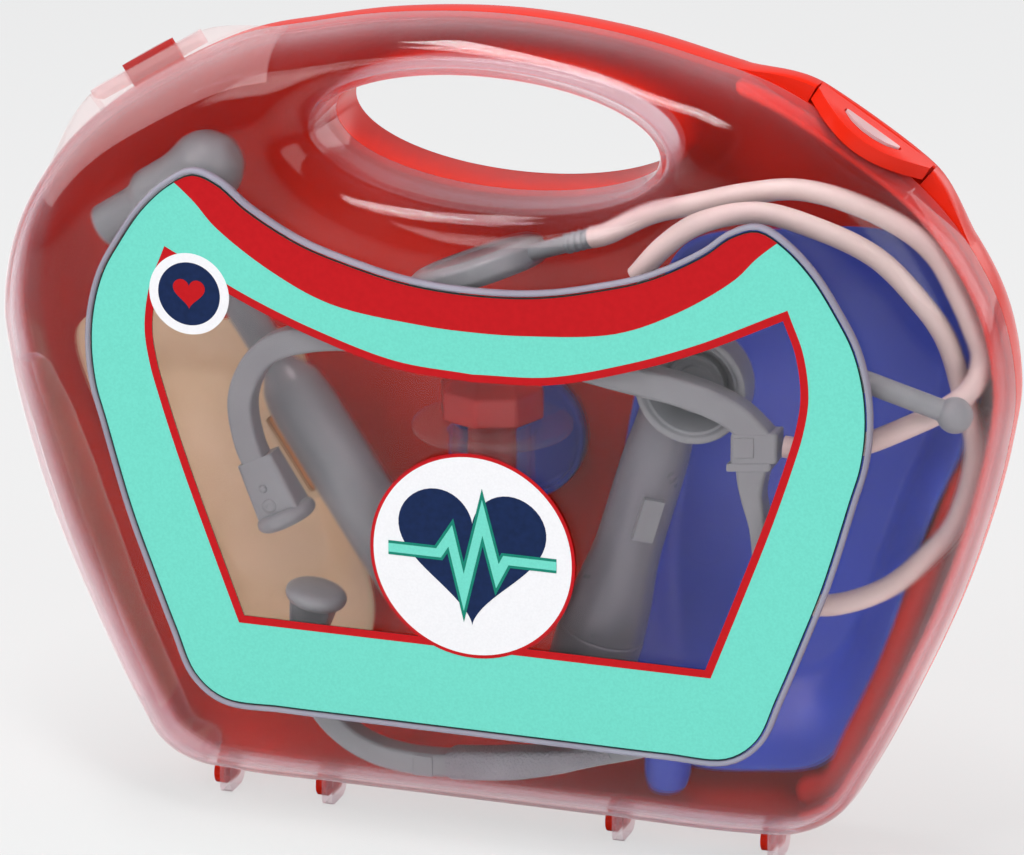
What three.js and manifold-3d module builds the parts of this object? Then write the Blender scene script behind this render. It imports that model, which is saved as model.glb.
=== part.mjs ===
// Toy doctor case: two twin half shells on a bottom hinge, with a set of toy instruments inside.
// Millimetres, +Z up, the front faces -Y, the origin is under the middle of the hinge ears.
import * as THREE from 'three';
import Module from 'manifold-3d';
import { mergeVertices } from 'three/addons/utils/BufferGeometryUtils.js';

const wasm = await Module();
wasm.setup();

// Case sizes
const caseWidth = 300;
const shellHeight = 233;
const frontDepth = 29;
const wall = 2.2;
const partingGap = 0.3;
const rest = 0.3;
const overrun = 1;

// Rounded edge of a half shell: how far in from the rim it reaches, and how square it is
const edgeShares = [0.0867, 0.1116];
const edgeReach = Math.min(caseWidth * edgeShares[0], shellHeight * edgeShares[1]);
const edgeFullness = 2.4;
const blend = 4;

// Hinge under the bottom
const earRadius = 3.8;
const axisDrop = 4.4;
const earThick = 3.2;
const earDepth = 8.5;
const earNeckGap = 0.6;
const earCorner = 2;
const earParts = 5;
const earGap = 0.4;
const earRootShare = 0.8;
const pinRadius = 1.6;
const pinClearance = 0.3;
const pinSides = 12;
const frontEarShares = [-0.556, -0.346, 0.243, 0.553];
const rearEarSide = -1;
const shellBottom = earRadius + axisDrop;

// Places are shares of the half width across, of the front's depth and of the height above the shell's bottom
const across = (share) => share * caseWidth / 2;
const level = (share) => shellBottom + share * shellHeight;
const deep = (share) => share * frontDepth;
const laid = (point) => [across(point[0]), ...point.slice(1, -1).map(deep), level(point[point.length - 1])];

// Handle hole and the dish round it
const holeHalfWidth = across(0.3367);
const holeHalfHeight = 0.0794 * shellHeight;
const holeCentreHeight = 0.8605 * shellHeight;
const dishHalfWidth = across(0.4533);
const dishDropBelow = 0.1674 * shellHeight;
const dishRiseAbove = 0.3433 * shellHeight;
const dishLipDepth = 20;
const dishLipRadius = 4;

// Right half of the rim from the top round to the bottom, as shares of the half width and the height
const rimShares = [
  [0, 1], [0.224, 0.989], [0.384, 0.968], [0.527, 0.943], [0.717, 0.876], [0.819, 0.828],
  [0.896, 0.773], [0.967, 0.69], [0.997, 0.591], [0.985, 0.521], [0.957, 0.439], [0.899, 0.32],
  [0.819, 0.198], [0.733, 0.086], [0.68, 0.032], [0.61, 0.007], [0.5, 0], [0.25, 0], [0, 0],
];
const rimSteps = 68;
const outlineSteps = 240;
const straightness = 0.001;
const slopeStep = 0.11;
const discParts = 12;

// Rings of a shell's mesh, measured from the hole and from the rim
const ringsFromHole = [0, 0.5, 2, 4.6, 12];
const ringsFromRim = [27, 14, 6, 1.6, 0];

// Label sheet and the bead that frames it, heights from the shell's bottom
const labelHalfWidth = across(0.7627);
const labelBottom = 0.1266 * shellHeight;
const labelHeight = 0.6738 * shellHeight;
const labelThick = 0.5;
const labelShares = [
  [0, 0.828], [0.17, 0.836], [0.32, 0.86], [0.45, 0.89], [0.585, 0.943], [0.66, 0.985], [0.725, 1],
  [0.79, 0.975], [0.86, 0.925], [0.92, 0.86], [0.965, 0.8], [0.992, 0.73], [1, 0.66], [0.99, 0.585],
  [0.965, 0.52], [0.9, 0.355], [0.845, 0.244], [0.785, 0.13], [0.735, 0.045], [0.66, 0.004],
  [0.5, 0], [0.25, 0], [0, 0],
];
const windowTopShares = [[0, 0.665], [0.2, 0.675], [0.4, 0.715], [0.58, 0.765], [0.79, 0.84]];
const windowSideShares = [
  [0.822, 0.779], [0.836, 0.703], [0.825, 0.641], [0.8, 0.575], [0.746, 0.454], [0.676, 0.314],
];
const windowBottomCorner = [0.602, 0.17];
const discRadius = 30.5;
const discOverlap = 4.6;
const badgeRadius = 12;
const badgeShares = [-0.737, 0.775];
const beadGap = 1.4;
const beadWidth = 3;
const beadRise = 2.2;
const beadRoot = 1.1;
const labelSteps = 60;

// Latches: a tongue on one half reaches over a catch on the other
const latchPlace = across(0.696);
const tongueHalfWidth = 18.5;
const tongueThick = 2.2;
const tongueStandOff = 2.8;
const tongueRoot = 4.3;
const tongueReach = 10;
const slotHalfWidth = 9;
const slotNear = 0.6;
const slotFar = 6.4;
const catchClearance = 0.7;
const catchRise = 4.6;
const padHalfWidth = 17;
const padFoot = 25;
const padDepth = 9;
const padSink = 2;
const bowParts = 10;

// Inner lip that guides the halves together, thick at its foot and thin further up
const lipGap = 0.8;
const lipThick = 1.6;
const lipFootThick = 4.6;
const lipReach = 6;
const lipRootDepth = 5;
const lipLean = 0.6;
const lipTaperShare = 0.45;
const lipStart = across(0.5867);
const lipEnd = across(0.4533);
const lipStep = 4;

// Where the flat inner face of a half shell lies either side of the parting plane, and where pieces rest on it
const innerFace = frontDepth - wall;
const seat = innerFace - rest * 2;

// Blue tray behind the right half: its open rim and, in shares about its middle, its floor
const trayRim = [
  [0.3333, 0.7202], [0.5333, 0.7545], [0.7467, 0.7631], [0.8733, 0.7245], [0.92, 0.6515],
  [0.8933, 0.5227], [0.8267, 0.4155], [0.77, 0.3039], [0.7233, 0.2009], [0.6733, 0.1193],
  [0.6133, 0.0721], [0.5067, 0.0549], [0.3333, 0.0528], [0.2267, 0.1021], [0.1867, 0.2309], [0.2067, 0.394],
  [0.2533, 0.5657],
].map(laid);
const trayDepth = deep(0.6276);
const trayRimPlace = seat - trayDepth;
const trayFloorShare = 0.74;
const trayWall = 1.6;
const traySteps = 40;
const slotCentre = laid([0.7067, 0.6601]);
const slotWidth = 17;
const slotHeight = 11;

// Cream splint behind the left half
const splintRim = [
  [-0.9067, 0.5227], [-0.8267, 0.5571], [-0.6133, 0.5571], [-0.46, 0.5399], [-0.4, 0.4112],
  [-0.3, 0.188], [-0.3533, 0.115], [-0.56, 0.0936], [-0.6733, 0.1622], [-0.8067, 0.3425],
].map(laid);
const splintDepth = deep(0.4207);
const splintRimPlace = seat - splintDepth;
const splintFloorShare = 0.62;
const splintWall = 2;
const splintSteps = 30;

// Round blue dish behind the syringe
const roundDishCentre = laid([-0.02, 0.4369]);
const roundDishRadius = 19.5;
const roundDishDepth = 6.1;
const roundDishWall = 1.8;
const roundDishSides = 28;

// Blue peg that stands at the bottom in front of the tray
const pegRadius = 6.6;
const pegDome = [[0.5, 0], [0.87, 0.3], [1, 0.8]];
const pegSides = 16;
const pegPlace = across(0.3233);
const pegFoot = level(0.027);
const pegTop = level(0.1494);

// Reflex hammer
const gripRadius = 9.7;
const gripLength = 74;
const gripButt = [[0.8, 0], [1, 0.2]];
const hammerSides = 18;
const gripEnd = laid([-0.1933, 0.2524]);
const hammerHeadCentre = laid([-0.6867, 0.7309]);
const neckRadius = 5;
const headNarrow = 6.5;
const headWide = 9;
const headBall = 11.2;
const headShort = 24;
const headLong = 14;
const headSocket = 8.5;
const headShoulder = 0.7;
const headWaist = [[0.3], [0.6, 0.86]];
const headDome = [[0.86, 0.5], [0.4, 0.92]];

// Splint clip, beside the grip: how far up the grip its ends are, and how far from the grip's axis
const clipWidth = 6;
const clipThick = 5;
const clipAlong = [63.4, 39.6];
const clipAside = [gripRadius + clipWidth * 0.45, gripRadius + clipWidth * 1.09];

// Headset arms run along the front's inner face, in front of the otoscope
const armRadius = 3.7;
const armPlace = armRadius - seat;

// Otoscope
const otoscopeHead = laid([0.4013, 0.5781]);
const otoscopeHeadRadius = 16.2;
const otoscopeHeadDepth = 15;
const otoscopeHeadFront = armPlace + armRadius + rest;
const otoscopeRecess = 9;
const recessMouth = 0.8;
const headBack = [[0.7, 0], [1, 0.3]];
const otoscopeSides = 24;
const lensRadius = 8.5;
const lensDepth = 3;
const handleTop = laid([0.3267, 0.5077]);
const handleEnd = laid([0.1693, 0.1622]);
const handleRadius = 12.5;
const handleRadii = [
  [8.6, 0], [9.4, 0.12], [9.4, 0.48], [11.6, 0.66], [handleRadius, 0.8], [handleRadius, 0.97], [10.5, 1],
];
const handlePlace = trayRimPlace - rest - handleRadius;
const handleJoin = 0.1;
const handleSides = 18;
const switchAlong = 0.3;
const switchLength = 13;
const switchWidth = 6;
const switchThick = 2.4;
const switchTravel = 4;
const switchSink = 1.2;
const switchTurn = 30;

// Syringe, upright behind the label's disc
const syringeX = across(-0.02);
const barrelRadius = 12.4;
const barrelWall = 1.3;
const barrelTop = level(0.4777);
const barrelFoot = level(0.2052);
const nozzleRadius = 3;
const nozzleLength = 9;
const nozzleBore = 1.2;
const nozzleTip = 0.8;
const nozzleShoulder = 1.2;
const syringeSides = 24;
const flangeRadius = (seat * 2 - roundDishDepth - rest) / 2;
const flangeThick = 2.4;
const plungerGap = 2;
const plungerCapRadius = 15.4;
const plungerCapHeight = 15;
const plungerCap = [[0.96, 0], [1, 0.3], [0.86, 0.8], [0.5, 1]];
const plungerRodRadius = 7;
const pistonGap = 0.5;
const pistonRadius = barrelRadius - barrelWall - pistonGap;
const pistonHeight = 7;
const boreCone = 0.9;
const pistonRise = 3;

// Stethoscope
const upperArmRoute = [
  [0.56, 0, 0.527], [0.4973, 0, 0.5614], [0.4093, 0, 0.5807], [0.28, 0, 0.5936], [0.0667, 0, 0.6129],
  [-0.1667, 0, 0.6107], [-0.3333, 0, 0.6], [-0.4267, 0.0345, 0.5742], [-0.48, 0.1034, 0.5142],
  [-0.4733, 0.1586, 0.4498], [-0.44, 0.1724, 0.4069],
].map(laid);
const lowerArmRoute = [
  [0.5533, 0, 0.527], [0.5267, 0, 0.4755], [0.55, 0, 0.4112], [0.5533, 0, 0.3167],
  [0.5133, 0.0345, 0.2137], [0.4133, 0.1207, 0.1279], [0.2, 0.1724, 0.0785], [-0.1, 0.1724, 0.0528],
  [-0.2467, 0.1724, 0.0614], [-0.34, 0.169, 0.1107], [-0.37, 0.1724, 0.1708], [-0.3533, 0.1724, 0.2223],
].map(laid);
const armSides = 10;
const sweepPitch = 5;
const junctionSize = [11, armRadius * 2, 10];
const junctionPlace = laid([0.562, 0.5253]);
const budCollarRadius = 6.2;
const budNeck = 0.8;
const budNeckLength = 3.6;
const budSides = 16;
const budDiscRadius = 8.6;
const budDiscThick = 3.4;
const budPlace = budDiscRadius - seat;
const upperBud = { from: laid([-0.4533, 0.424]), to: laid([-0.3967, 0.3554]) };
const lowerBud = { from: laid([-0.3633, 0.2009]), to: laid([-0.34, 0.2652]) };
const tubeRadius = 3.1;
const tubeSides = 8;
const tubeRoute = [
  [0.3027, -0.331, 0.7803], [0.3973, -0.3103, 0.7991], [0.4933, -0.3103, 0.8176],
  [0.5867, -0.2759, 0.8266], [0.6933, -0.2069, 0.8124], [0.7993, -0.1724, 0.782],
  [0.846, -0.069, 0.7489], [0.8793, -0.0345, 0.7099], [0.9107, 0, 0.6635], [0.9267, 0.0172, 0.63],
  [0.9187, -0.1034, 0.5979], [0.8867, -0.2759, 0.5777], [0.8, -0.4828, 0.5485],
  [0.7333, -0.6552, 0.5322], [0.66, -0.7414, 0.5227], [0.5933, -0.7759, 0.5253],
].map(laid);
const chestPieceCentre = laid([-0.0533, -0.0345, 0.6794]);
const chestPieceRadius = 20;
const chestPieceHeight = 8;
const chestRimWidth = 1.6;
const chestSocket = 4;
const chestSides = 28;
const stemTo = laid([0.192, -0.3517, 0.7442]);
const stemRadius = 2.4;
const stemRibRadius = 2.9;
const stemRibs = 4;
const stemRibPitch = 2.3;
const stemRib = [[stemRadius, 0], [stemRibRadius, 0.3], [stemRibRadius, 0.6], [stemRadius, 0.8]];
const stemSides = 12;
const tubeLead = 5;

// Grey rod with a ball tip, and the second tube, which passes behind the first
const rodBall = laid([0.908, -0.5724, 0.5785]);
const rodEnd = laid([0.66, -0.7966, 0.6343]);
const rodRadius = 3.1;
const ballRadius = 5.1;
const ballShares = [[0.45, -0.9], [0.87, -0.5], [1, 0], [0.87, 0.5]];
const ballNeck = 0.8;
const rodSides = 14;
const secondTubeRoute = [
  [0.3, -0.6897, 0.7159], [0.3533, -0.7069, 0.7567], [0.422, -0.7069, 0.7906], [0.53, -0.6379, 0.8077],
  [0.64, -0.4828, 0.788], [0.7353, -0.2414, 0.7502], [0.804, -0.069, 0.6987], [0.8533, 0.069, 0.6464],
  [0.8867, 0.1517, 0.5708], [0.9107, 0.1517, 0.5056], [0.8773, 0.1207, 0.4112],
  [0.8267, 0.0345, 0.3682], [0.7733, -0.1034, 0.3361], [0.7067, -0.2759, 0.3167],
  [0.6433, -0.4138, 0.3116], [0.58, -0.4483, 0.3189],
].map(laid);

// Colours
const clearPlastic = { color: 0xf2d9d4, roughness: 0.2, metalness: 0 };
const redPlastic = { color: 0xd21f0a, roughness: 0.25, metalness: 0 };
const greyPlastic = { color: 0x777c7e, roughness: 0.4, metalness: 0 };
const bluePlastic = { color: 0x3047a8, roughness: 0.35, metalness: 0 };
const creamPlastic = { color: 0xe6d6b0, roughness: 0.5, metalness: 0 };
const apricotPlastic = { color: 0xeab27c, roughness: 0.5, metalness: 0 };
const tubePlastic = { color: 0xe4dcd0, roughness: 0.5, metalness: 0 };
const labelCard = { color: 0x6edac6, roughness: 0.6, metalness: 0 };

const object = new THREE.Group();

// Solids

function solidFrom(positions, triangles) {
  return new wasm.Manifold(new wasm.Mesh({
    numProp: 3,
    vertProperties: Float32Array.from(positions),
    triVerts: Uint32Array.from(triangles),
  }));
}

function solid(geometry) {
  const bare = geometry.clone();
  bare.deleteAttribute('normal');
  bare.deleteAttribute('uv');
  const merged = mergeVertices(bare);
  return solidFrom(merged.attributes.position.array, merged.index.array);
}

function geometryOf(body) {
  const mesh = body.getMesh();
  const geometry = new THREE.BufferGeometry();
  geometry.setAttribute('position', new THREE.BufferAttribute(mesh.vertProperties, 3));
  geometry.setIndex(new THREE.BufferAttribute(mesh.triVerts, 1));
  geometry.computeVertexNormals();
  return geometry;
}

function joined(...bodies) {
  return bodies.reduce((whole, body) => whole.add(body));
}

function halfTurned(body) {
  return solid(geometryOf(body).rotateZ(Math.PI));
}

function place(name, body, finish) {
  const geometry = body.isBufferGeometry ? body : geometryOf(body);
  const mesh = new THREE.Mesh(geometry, new THREE.MeshStandardMaterial(finish));
  mesh.name = name;
  object.add(mesh);
  return mesh;
}

// Outlines

function mirrored(half) {
  const right = half.slice(1, -1).map(([x, z]) => [x, z]);
  const left = right.slice().reverse().map(([x, z]) => [-x, z]);
  return [half[0], ...right, half[half.length - 1], ...left];
}

function smoothLoop(points, steps) {
  const curve = new THREE.CatmullRomCurve3(points.map(([x, z]) => new THREE.Vector3(x, z, 0)), true);
  curve.arcLengthDivisions = outlineSteps * 2;
  return curve.getSpacedPoints(steps).slice(0, steps).map((p) => new THREE.Vector2(p.x, p.y));
}

function scaled(shares, halfWidth, height, base) {
  return shares.map(([x, z]) => [x * halfWidth, base + z * height]);
}

// Outward normals of a loop that runs clockwise as seen from the front
function loopNormals(loop) {
  return loop.map((point, i) => {
    const before = loop[(i + loop.length - 1) % loop.length];
    const after = loop[(i + 1) % loop.length];
    const along = after.clone().sub(before).normalize();
    return new THREE.Vector2(-along.y, along.x);
  });
}

function offset(loop, distance) {
  const normals = loopNormals(loop);
  return loop.map((point, i) => point.clone().addScaledVector(normals[i], distance));
}

function distanceTo(loop, point) {
  let least = Infinity;
  loop.forEach((from, i) => {
    const to = loop[(i + 1) % loop.length];
    const along = to.clone().sub(from);
    const share = THREE.MathUtils.clamp(point.clone().sub(from).dot(along) / along.lengthSq(), 0, 1);
    least = Math.min(least, point.distanceTo(from.clone().addScaledVector(along, share)));
  });
  return least;
}

// Points of a loop without those that lie on a straight run
function cornersOf(points) {
  return points.filter((point, i) => {
    const before = points[(i + points.length - 1) % points.length];
    const after = points[(i + 1) % points.length];
    return Math.abs(point.clone().sub(before).cross(after.clone().sub(point))) > straightness;
  });
}

function shapeOf(points) {
  return new THREE.Shape(cornersOf(points.map((p) => (p.isVector2 ? p : new THREE.Vector2(...p)))));
}

// A slab whose outline is drawn as seen from the front, from one depth to another, front positive
function slab(shape, fromDepth, toDepth) {
  const depth = toDepth - fromDepth;
  const options = { depth, bevelEnabled: false, curveSegments: discParts };
  const geometry = new THREE.ExtrudeGeometry(shape, options);
  return geometry.translate(0, 0, fromDepth).rotateX(Math.PI / 2);
}

const rimPoints = scaled(mirrored(rimShares), caseWidth / 2, shellHeight, shellBottom);
const rimLoop = smoothLoop(rimPoints, outlineSteps);
const rimNormals = loopNormals(rimLoop);
const holeCentre = new THREE.Vector2(0, shellBottom + holeCentreHeight);

// Shell surface: its depth in front of the parting plane at a point of the outline's plane

function edgeDepth(inset) {
  const share = 1 - Math.min(inset / edgeReach, 1);
  return frontDepth * (1 - share ** edgeFullness) ** (1 / edgeFullness);
}

function dishDepth(point) {
  const x = point.x - holeCentre.x;
  const z = point.y - holeCentre.y;
  const inner = Math.hypot(x / holeHalfWidth, z / holeHalfHeight);
  const outer = Math.hypot(x / dishHalfWidth, z / (z > 0 ? dishRiseAbove : dishDropBelow));
  const share = inner > outer ? Math.max((inner - 1) / (inner - outer), 0) : 0;
  const steepness = Math.hypot(x / holeHalfWidth ** 2, z / holeHalfHeight ** 2) / inner;
  const away = Math.max(inner - 1, 0) / steepness;
  const turn = 1 - Math.min(away / dishLipRadius, 1);
  const lip = dishLipDepth - dishLipRadius * (1 - Math.sqrt(1 - turn ** 2));
  const ramp = (share + THREE.MathUtils.smoothstep(share, 0, 1)) / 2;
  return lip + (frontDepth + blend - dishLipDepth) * ramp;
}

function surfaceDepth(point) {
  const edge = edgeDepth(distanceTo(rimLoop, point));
  const dish = dishDepth(point);
  const low = Math.min(edge, dish);
  const near = Math.max(blend - Math.abs(edge - dish), 0) / blend;
  return Math.max(low - (near * near * blend * low) / (4 * frontDepth), 0);
}

function surfaceSlope(point) {
  const slope = (dx, dz) => {
    const ahead = surfaceDepth(point.clone().add(new THREE.Vector2(dx, dz)));
    const behind = surfaceDepth(point.clone().sub(new THREE.Vector2(dx, dz)));
    return (ahead - behind) / (2 * slopeStep);
  };
  return [slope(slopeStep, 0), slope(0, slopeStep)];
}

// One half shell as a closed skin: outer and inner surfaces between the hole and the rim
function shellSkin() {
  const rim = smoothLoop(rimPoints, rimSteps);
  const normals = loopNormals(rim);
  const rings = ringsFromHole.length + ringsFromRim.length;
  const outer = [];
  const inner = [];
  rim.forEach((rimPoint, i) => {
    const ray = rimPoint.clone().sub(holeCentre);
    const reach = 1 / Math.hypot(ray.x / holeHalfWidth, ray.y / holeHalfHeight);
    const holePoint = holeCentre.clone().addScaledVector(ray, reach);
    const spoke = rimPoint.clone().sub(holePoint);
    const length = spoke.length();
    const ringReach = ringsFromHole[ringsFromHole.length - 1] + ringsFromRim[0];
    const squeeze = Math.min(1, length / ringReach);
    const places = [
      ...ringsFromHole.map((away) => (away * squeeze) / length),
      ...ringsFromRim.map((away) => 1 - (away * squeeze) / length),
    ];
    places.forEach((share, j) => {
      const point = holePoint.clone().addScaledVector(spoke, share);
      const atHole = j === 0;
      const atRim = j === rings - 1;
      let depth = surfaceDepth(point);
      let [slopeX, slopeZ] = [0, 0];
      let normal;
      if (atHole || atRim) {
        depth = partingGap / 2;
        const [x, z] = [ray.x / holeHalfWidth ** 2, ray.y / holeHalfHeight ** 2];
        const flat = atRim ? normals[i] : new THREE.Vector2(-x, -z).normalize();
        normal = [flat.x, 0, flat.y];
      } else {
        [slopeX, slopeZ] = surfaceSlope(point);
        const size = Math.hypot(slopeX, slopeZ, 1);
        normal = [-slopeX / size, -1 / size, -slopeZ / size];
      }
      outer.push(point.x, -depth, point.y);
      const innerDepth = atHole || atRim ? depth : Math.max(depth + normal[1] * wall, partingGap);
      inner.push(point.x - normal[0] * wall, -innerDepth, point.y - normal[2] * wall);
    });
  });
  const count = rim.length;
  const at = (i, j) => (i % count) * rings + j;
  const under = count * rings;
  const triangles = [];
  const quad = (a, b, c, d) => triangles.push(a, b, c, a, c, d);
  for (let i = 0; i < count; i += 1) {
    for (let j = 0; j < rings - 1; j += 1) {
      quad(at(i, j), at(i + 1, j), at(i + 1, j + 1), at(i, j + 1));
      quad(under + at(i, j), under + at(i, j + 1), under + at(i + 1, j + 1), under + at(i + 1, j));
    }
    const last = rings - 1;
    quad(at(i, 0), under + at(i, 0), under + at(i + 1, 0), at(i + 1, 0));
    quad(at(i, last), at(i + 1, last), under + at(i + 1, last), under + at(i, last));
  }
  return solidFrom([...outer, ...inner], triangles);
}

const labelLoop = smoothLoop(
  scaled(mirrored(labelShares), labelHalfWidth, labelHeight, shellBottom + labelBottom),
  labelSteps,
);

// Raised bead round the label's place
function bead() {
  const outline = shapeOf(offset(labelLoop, beadGap + beadWidth));
  const opening = shapeOf(offset(labelLoop, beadGap));
  const top = frontDepth + beadRise;
  const outside = solid(slab(outline, frontDepth - beadRoot, top));
  return outside.subtract(solid(slab(opening, frontDepth - wall, top + overrun)));
}

// Frame of a latch: its origin on the rim, X along the rim, Y outward, Z towards the front
const latchIndex = rimLoop.reduce((best, p, i) => {
  const off = Math.abs(p.x - latchPlace) + (p.y < shellBottom + shellHeight / 2 ? caseWidth : 0);
  return off < best.off ? { off, i } : best;
}, { off: Infinity, i: 0 }).i;
const latchOrigin = rimLoop[latchIndex];
const latchAngle = Math.atan2(rimNormals[latchIndex].x, rimNormals[latchIndex].y);

function atLatch(geometry, side) {
  geometry.rotateX(Math.PI / 2).rotateY(latchAngle).translate(latchOrigin.x, 0, latchOrigin.y);
  return side > 0 ? geometry : geometry.rotateZ(Math.PI);
}

// Plate lying over the rim: drawn along the rim and towards the front, given a range outward
function plate(shape, low, high) {
  const options = { depth: high - low, bevelEnabled: false, curveSegments: bowParts };
  const geometry = new THREE.ExtrudeGeometry(shape, options);
  return geometry.translate(0, 0, low).rotateX(-Math.PI / 2);
}

function bow(halfWidth, near, far) {
  const shape = new THREE.Shape();
  shape.moveTo(halfWidth, -near);
  shape.quadraticCurveTo(0, near - far * 2, -halfWidth, -near);
  return shape;
}

// The tongue of the half that faces away from the viewer, lying over the front half's catch
function tongue() {
  const shape = bow(tongueHalfWidth, 0, tongueReach);
  shape.lineTo(-tongueHalfWidth, tongueRoot);
  shape.lineTo(tongueHalfWidth, tongueRoot);
  shape.closePath();
  const body = solid(plate(shape, tongueStandOff, tongueStandOff + tongueThick));
  const slot = bow(slotHalfWidth, slotNear, slotFar);
  slot.closePath();
  return body.subtract(solid(plate(slot, 0, tongueStandOff + tongueThick + overrun)));
}

function catchBlock() {
  const shape = bow(slotHalfWidth - catchClearance, slotNear + catchClearance, slotFar - catchClearance);
  shape.closePath();
  return plate(shape, -padSink, catchRise);
}

// Pad that carries a tongue: it stands on the tongue's own half, behind the tongue's root
function pad() {
  const shape = shapeOf([
    [-padFoot, -padSink], [padFoot, -padSink], [padHalfWidth, tongueStandOff + tongueThick],
    [-padHalfWidth, tongueStandOff + tongueThick],
  ]);
  const geometry = new THREE.ExtrudeGeometry(shape, { depth: padDepth, bevelEnabled: false });
  return geometry.translate(0, 0, -tongueRoot - rest - padDepth);
}

// Lip rib up the left side of a half, fused to its wall and reaching into the other half
function lip() {
  const path = rimLoop.map((point, i) => i).filter((i) => {
    const p = rimLoop[i];
    return i % lipStep === 0 && -p.x > (p.y > holeCentre.y ? lipEnd : lipStart);
  });
  const near = wall + lipGap;
  const positions = [];
  path.forEach((i, step) => {
    const fat = Math.max(1 - step / (path.length - 1) / lipTaperShare, 0);
    const far = near + lipThick + (lipFootThick - lipThick) * fat;
    const section = [
      [wall / 2, lipRootDepth], [far, lipRootDepth], [far + lipLean, -lipReach],
      [near + lipLean, -lipReach], [near, partingGap * 2], [wall / 2, partingGap * 2],
    ];
    section.forEach(([inset, depth]) => {
      const p = rimLoop[i].clone().addScaledVector(rimNormals[i], -inset);
      positions.push(p.x, -depth, p.y);
    });
  });
  const sides = 6;
  const last = (path.length - 1) * sides;
  const triangles = [];
  for (let k = 0; k < last; k += sides) {
    for (let s = 0; s < sides; s += 1) {
      const [a, b] = [k + s, k + ((s + 1) % sides)];
      triangles.push(a, b, b + sides, a, b + sides, a + sides);
    }
  }
  for (const [a, b, c] of [[0, 1, 4], [0, 4, 5], [1, 2, 3], [1, 3, 4]]) {
    triangles.push(a, c, b, last + a, last + b, last + c);
  }
  return solidFrom(positions, triangles);
}

// Hinge ear of the front half: square to the hinge, rounded about its axis towards the other half
function ear(place) {
  const shape = new THREE.Shape();
  shape.moveTo(-earDepth, shellBottom + wall * earRootShare);
  shape.lineTo(-earDepth, earCorner);
  shape.quadraticCurveTo(-earDepth, 0, -earDepth + earCorner, 0);
  shape.lineTo(0, 0);
  shape.absarc(0, earRadius, earRadius, -Math.PI / 2, Math.PI / 2, false);
  shape.lineTo(-earNeckGap, earRadius * 2);
  shape.lineTo(-earNeckGap, shellBottom + wall * earRootShare);
  shape.closePath();
  const options = { depth: earThick, bevelEnabled: false, curveSegments: earParts };
  const geometry = new THREE.ExtrudeGeometry(shape, options);
  geometry.translate(0, 0, -earThick / 2).rotateZ(Math.PI / 2).rotateY(Math.PI / 2);
  return geometry.translate(place, 0, 0);
}

// Round bar along X
function crossBar(radius, from, to, height) {
  const length = Math.abs(to - from);
  const bar = new THREE.CylinderGeometry(radius, radius, length, pinSides).rotateZ(Math.PI / 2);
  return solid(bar.translate((from + to) / 2, 0, height));
}

const earPitch = earThick + earGap;
const frontEarPlaces = frontEarShares.map((share) => share * caseWidth / 2);
const rearEarPlaces = frontEarPlaces.map((x) => x + rearEarSide * earPitch);
const twin = joined(
  shellSkin(), bead(), lip(), solid(atLatch(catchBlock(), 1)), solid(atLatch(pad(), -1)),
);
const frontEars = frontEarPlaces.map((x) => {
  const stub = crossBar(pinRadius, x, x + rearEarSide * (earPitch + earThick / 2), earRadius);
  return solid(ear(x)).add(stub);
});
const rearEars = rearEarPlaces.map((x) => {
  const bore = crossBar(pinRadius + pinClearance, x - earThick, x + earThick, earRadius);
  return halfTurned(solid(ear(-x))).subtract(bore);
});

place('shell_front', joined(twin, ...frontEars), clearPlastic);
place('shell_rear', joined(halfTurned(twin), ...rearEars), redPlastic);
place('latch_tongue_right', solid(atLatch(geometryOf(tongue()), 1)), redPlastic);
place('latch_tongue_left', solid(atLatch(geometryOf(tongue()), -1)), clearPlastic);

// Label sheet, with its window, centre disc and badge
function label() {
  const low = frontDepth + rest;
  const high = low + labelThick;
  const at = ([x, z]) => [x * labelHalfWidth, shellBottom + labelBottom + z * labelHeight];
  const top = windowTopShares.map(at);
  const corner = at(windowBottomCorner);
  const right = [...top, ...windowSideShares.map(at), corner].map(([x, z]) => new THREE.Vector2(x, z));
  const left = right.slice(1).reverse().map((p) => new THREE.Vector2(-p.x, p.y));
  const opening = solid(slab(shapeOf([...right, ...left]), low - overrun, high + overrun));
  const round = (radius, x, z) => {
    const circleShape = new THREE.Shape().absarc(x, z, radius, 0, Math.PI * 2);
    return solid(slab(circleShape, low, high));
  };
  return solid(slab(shapeOf(labelLoop), low, high))
    .subtract(opening)
    .add(round(discRadius, 0, corner[1] + discRadius - discOverlap))
    .add(round(badgeRadius, ...at(badgeShares)));
}

place('label_sheet', label(), labelCard);

// A closed skin over a row of rings with equal counts, with a fan over each end
function stack(rings) {
  const count = rings[0].length;
  const middle = (ring) => ring.reduce((sum, p) => sum.add(p), new THREE.Vector3()).divideScalar(count);
  const points = [...rings.flat(), middle(rings[0]), middle(rings[rings.length - 1])];
  const first = rings.length * count;
  const triangles = [];
  for (let i = 0; i < count; i += 1) {
    const next = (i + 1) % count;
    for (let j = 0; j < first - count; j += count) {
      triangles.push(j + i, j + next, j + count + next, j + i, j + count + next, j + count + i);
    }
    triangles.push(first, next, i, first + 1, first - count + i, first - count + next);
  }
  const positions = points.flatMap((p) => [p.x, p.y, p.z]);
  const body = solidFrom(positions, triangles);
  return body.volume() > 0 ? body : solidFrom(positions, triangles.reverse());
}

const up = new THREE.Vector3(0, 0, 1);
const towardsFront = new THREE.Vector3(0, -1, 0);

// A profile given as shares of a radius and of a length
function sharesOf(profile, radius, length) {
  return profile.map(([radiusShare, share]) => [radiusShare * radius, share * length]);
}

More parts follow.
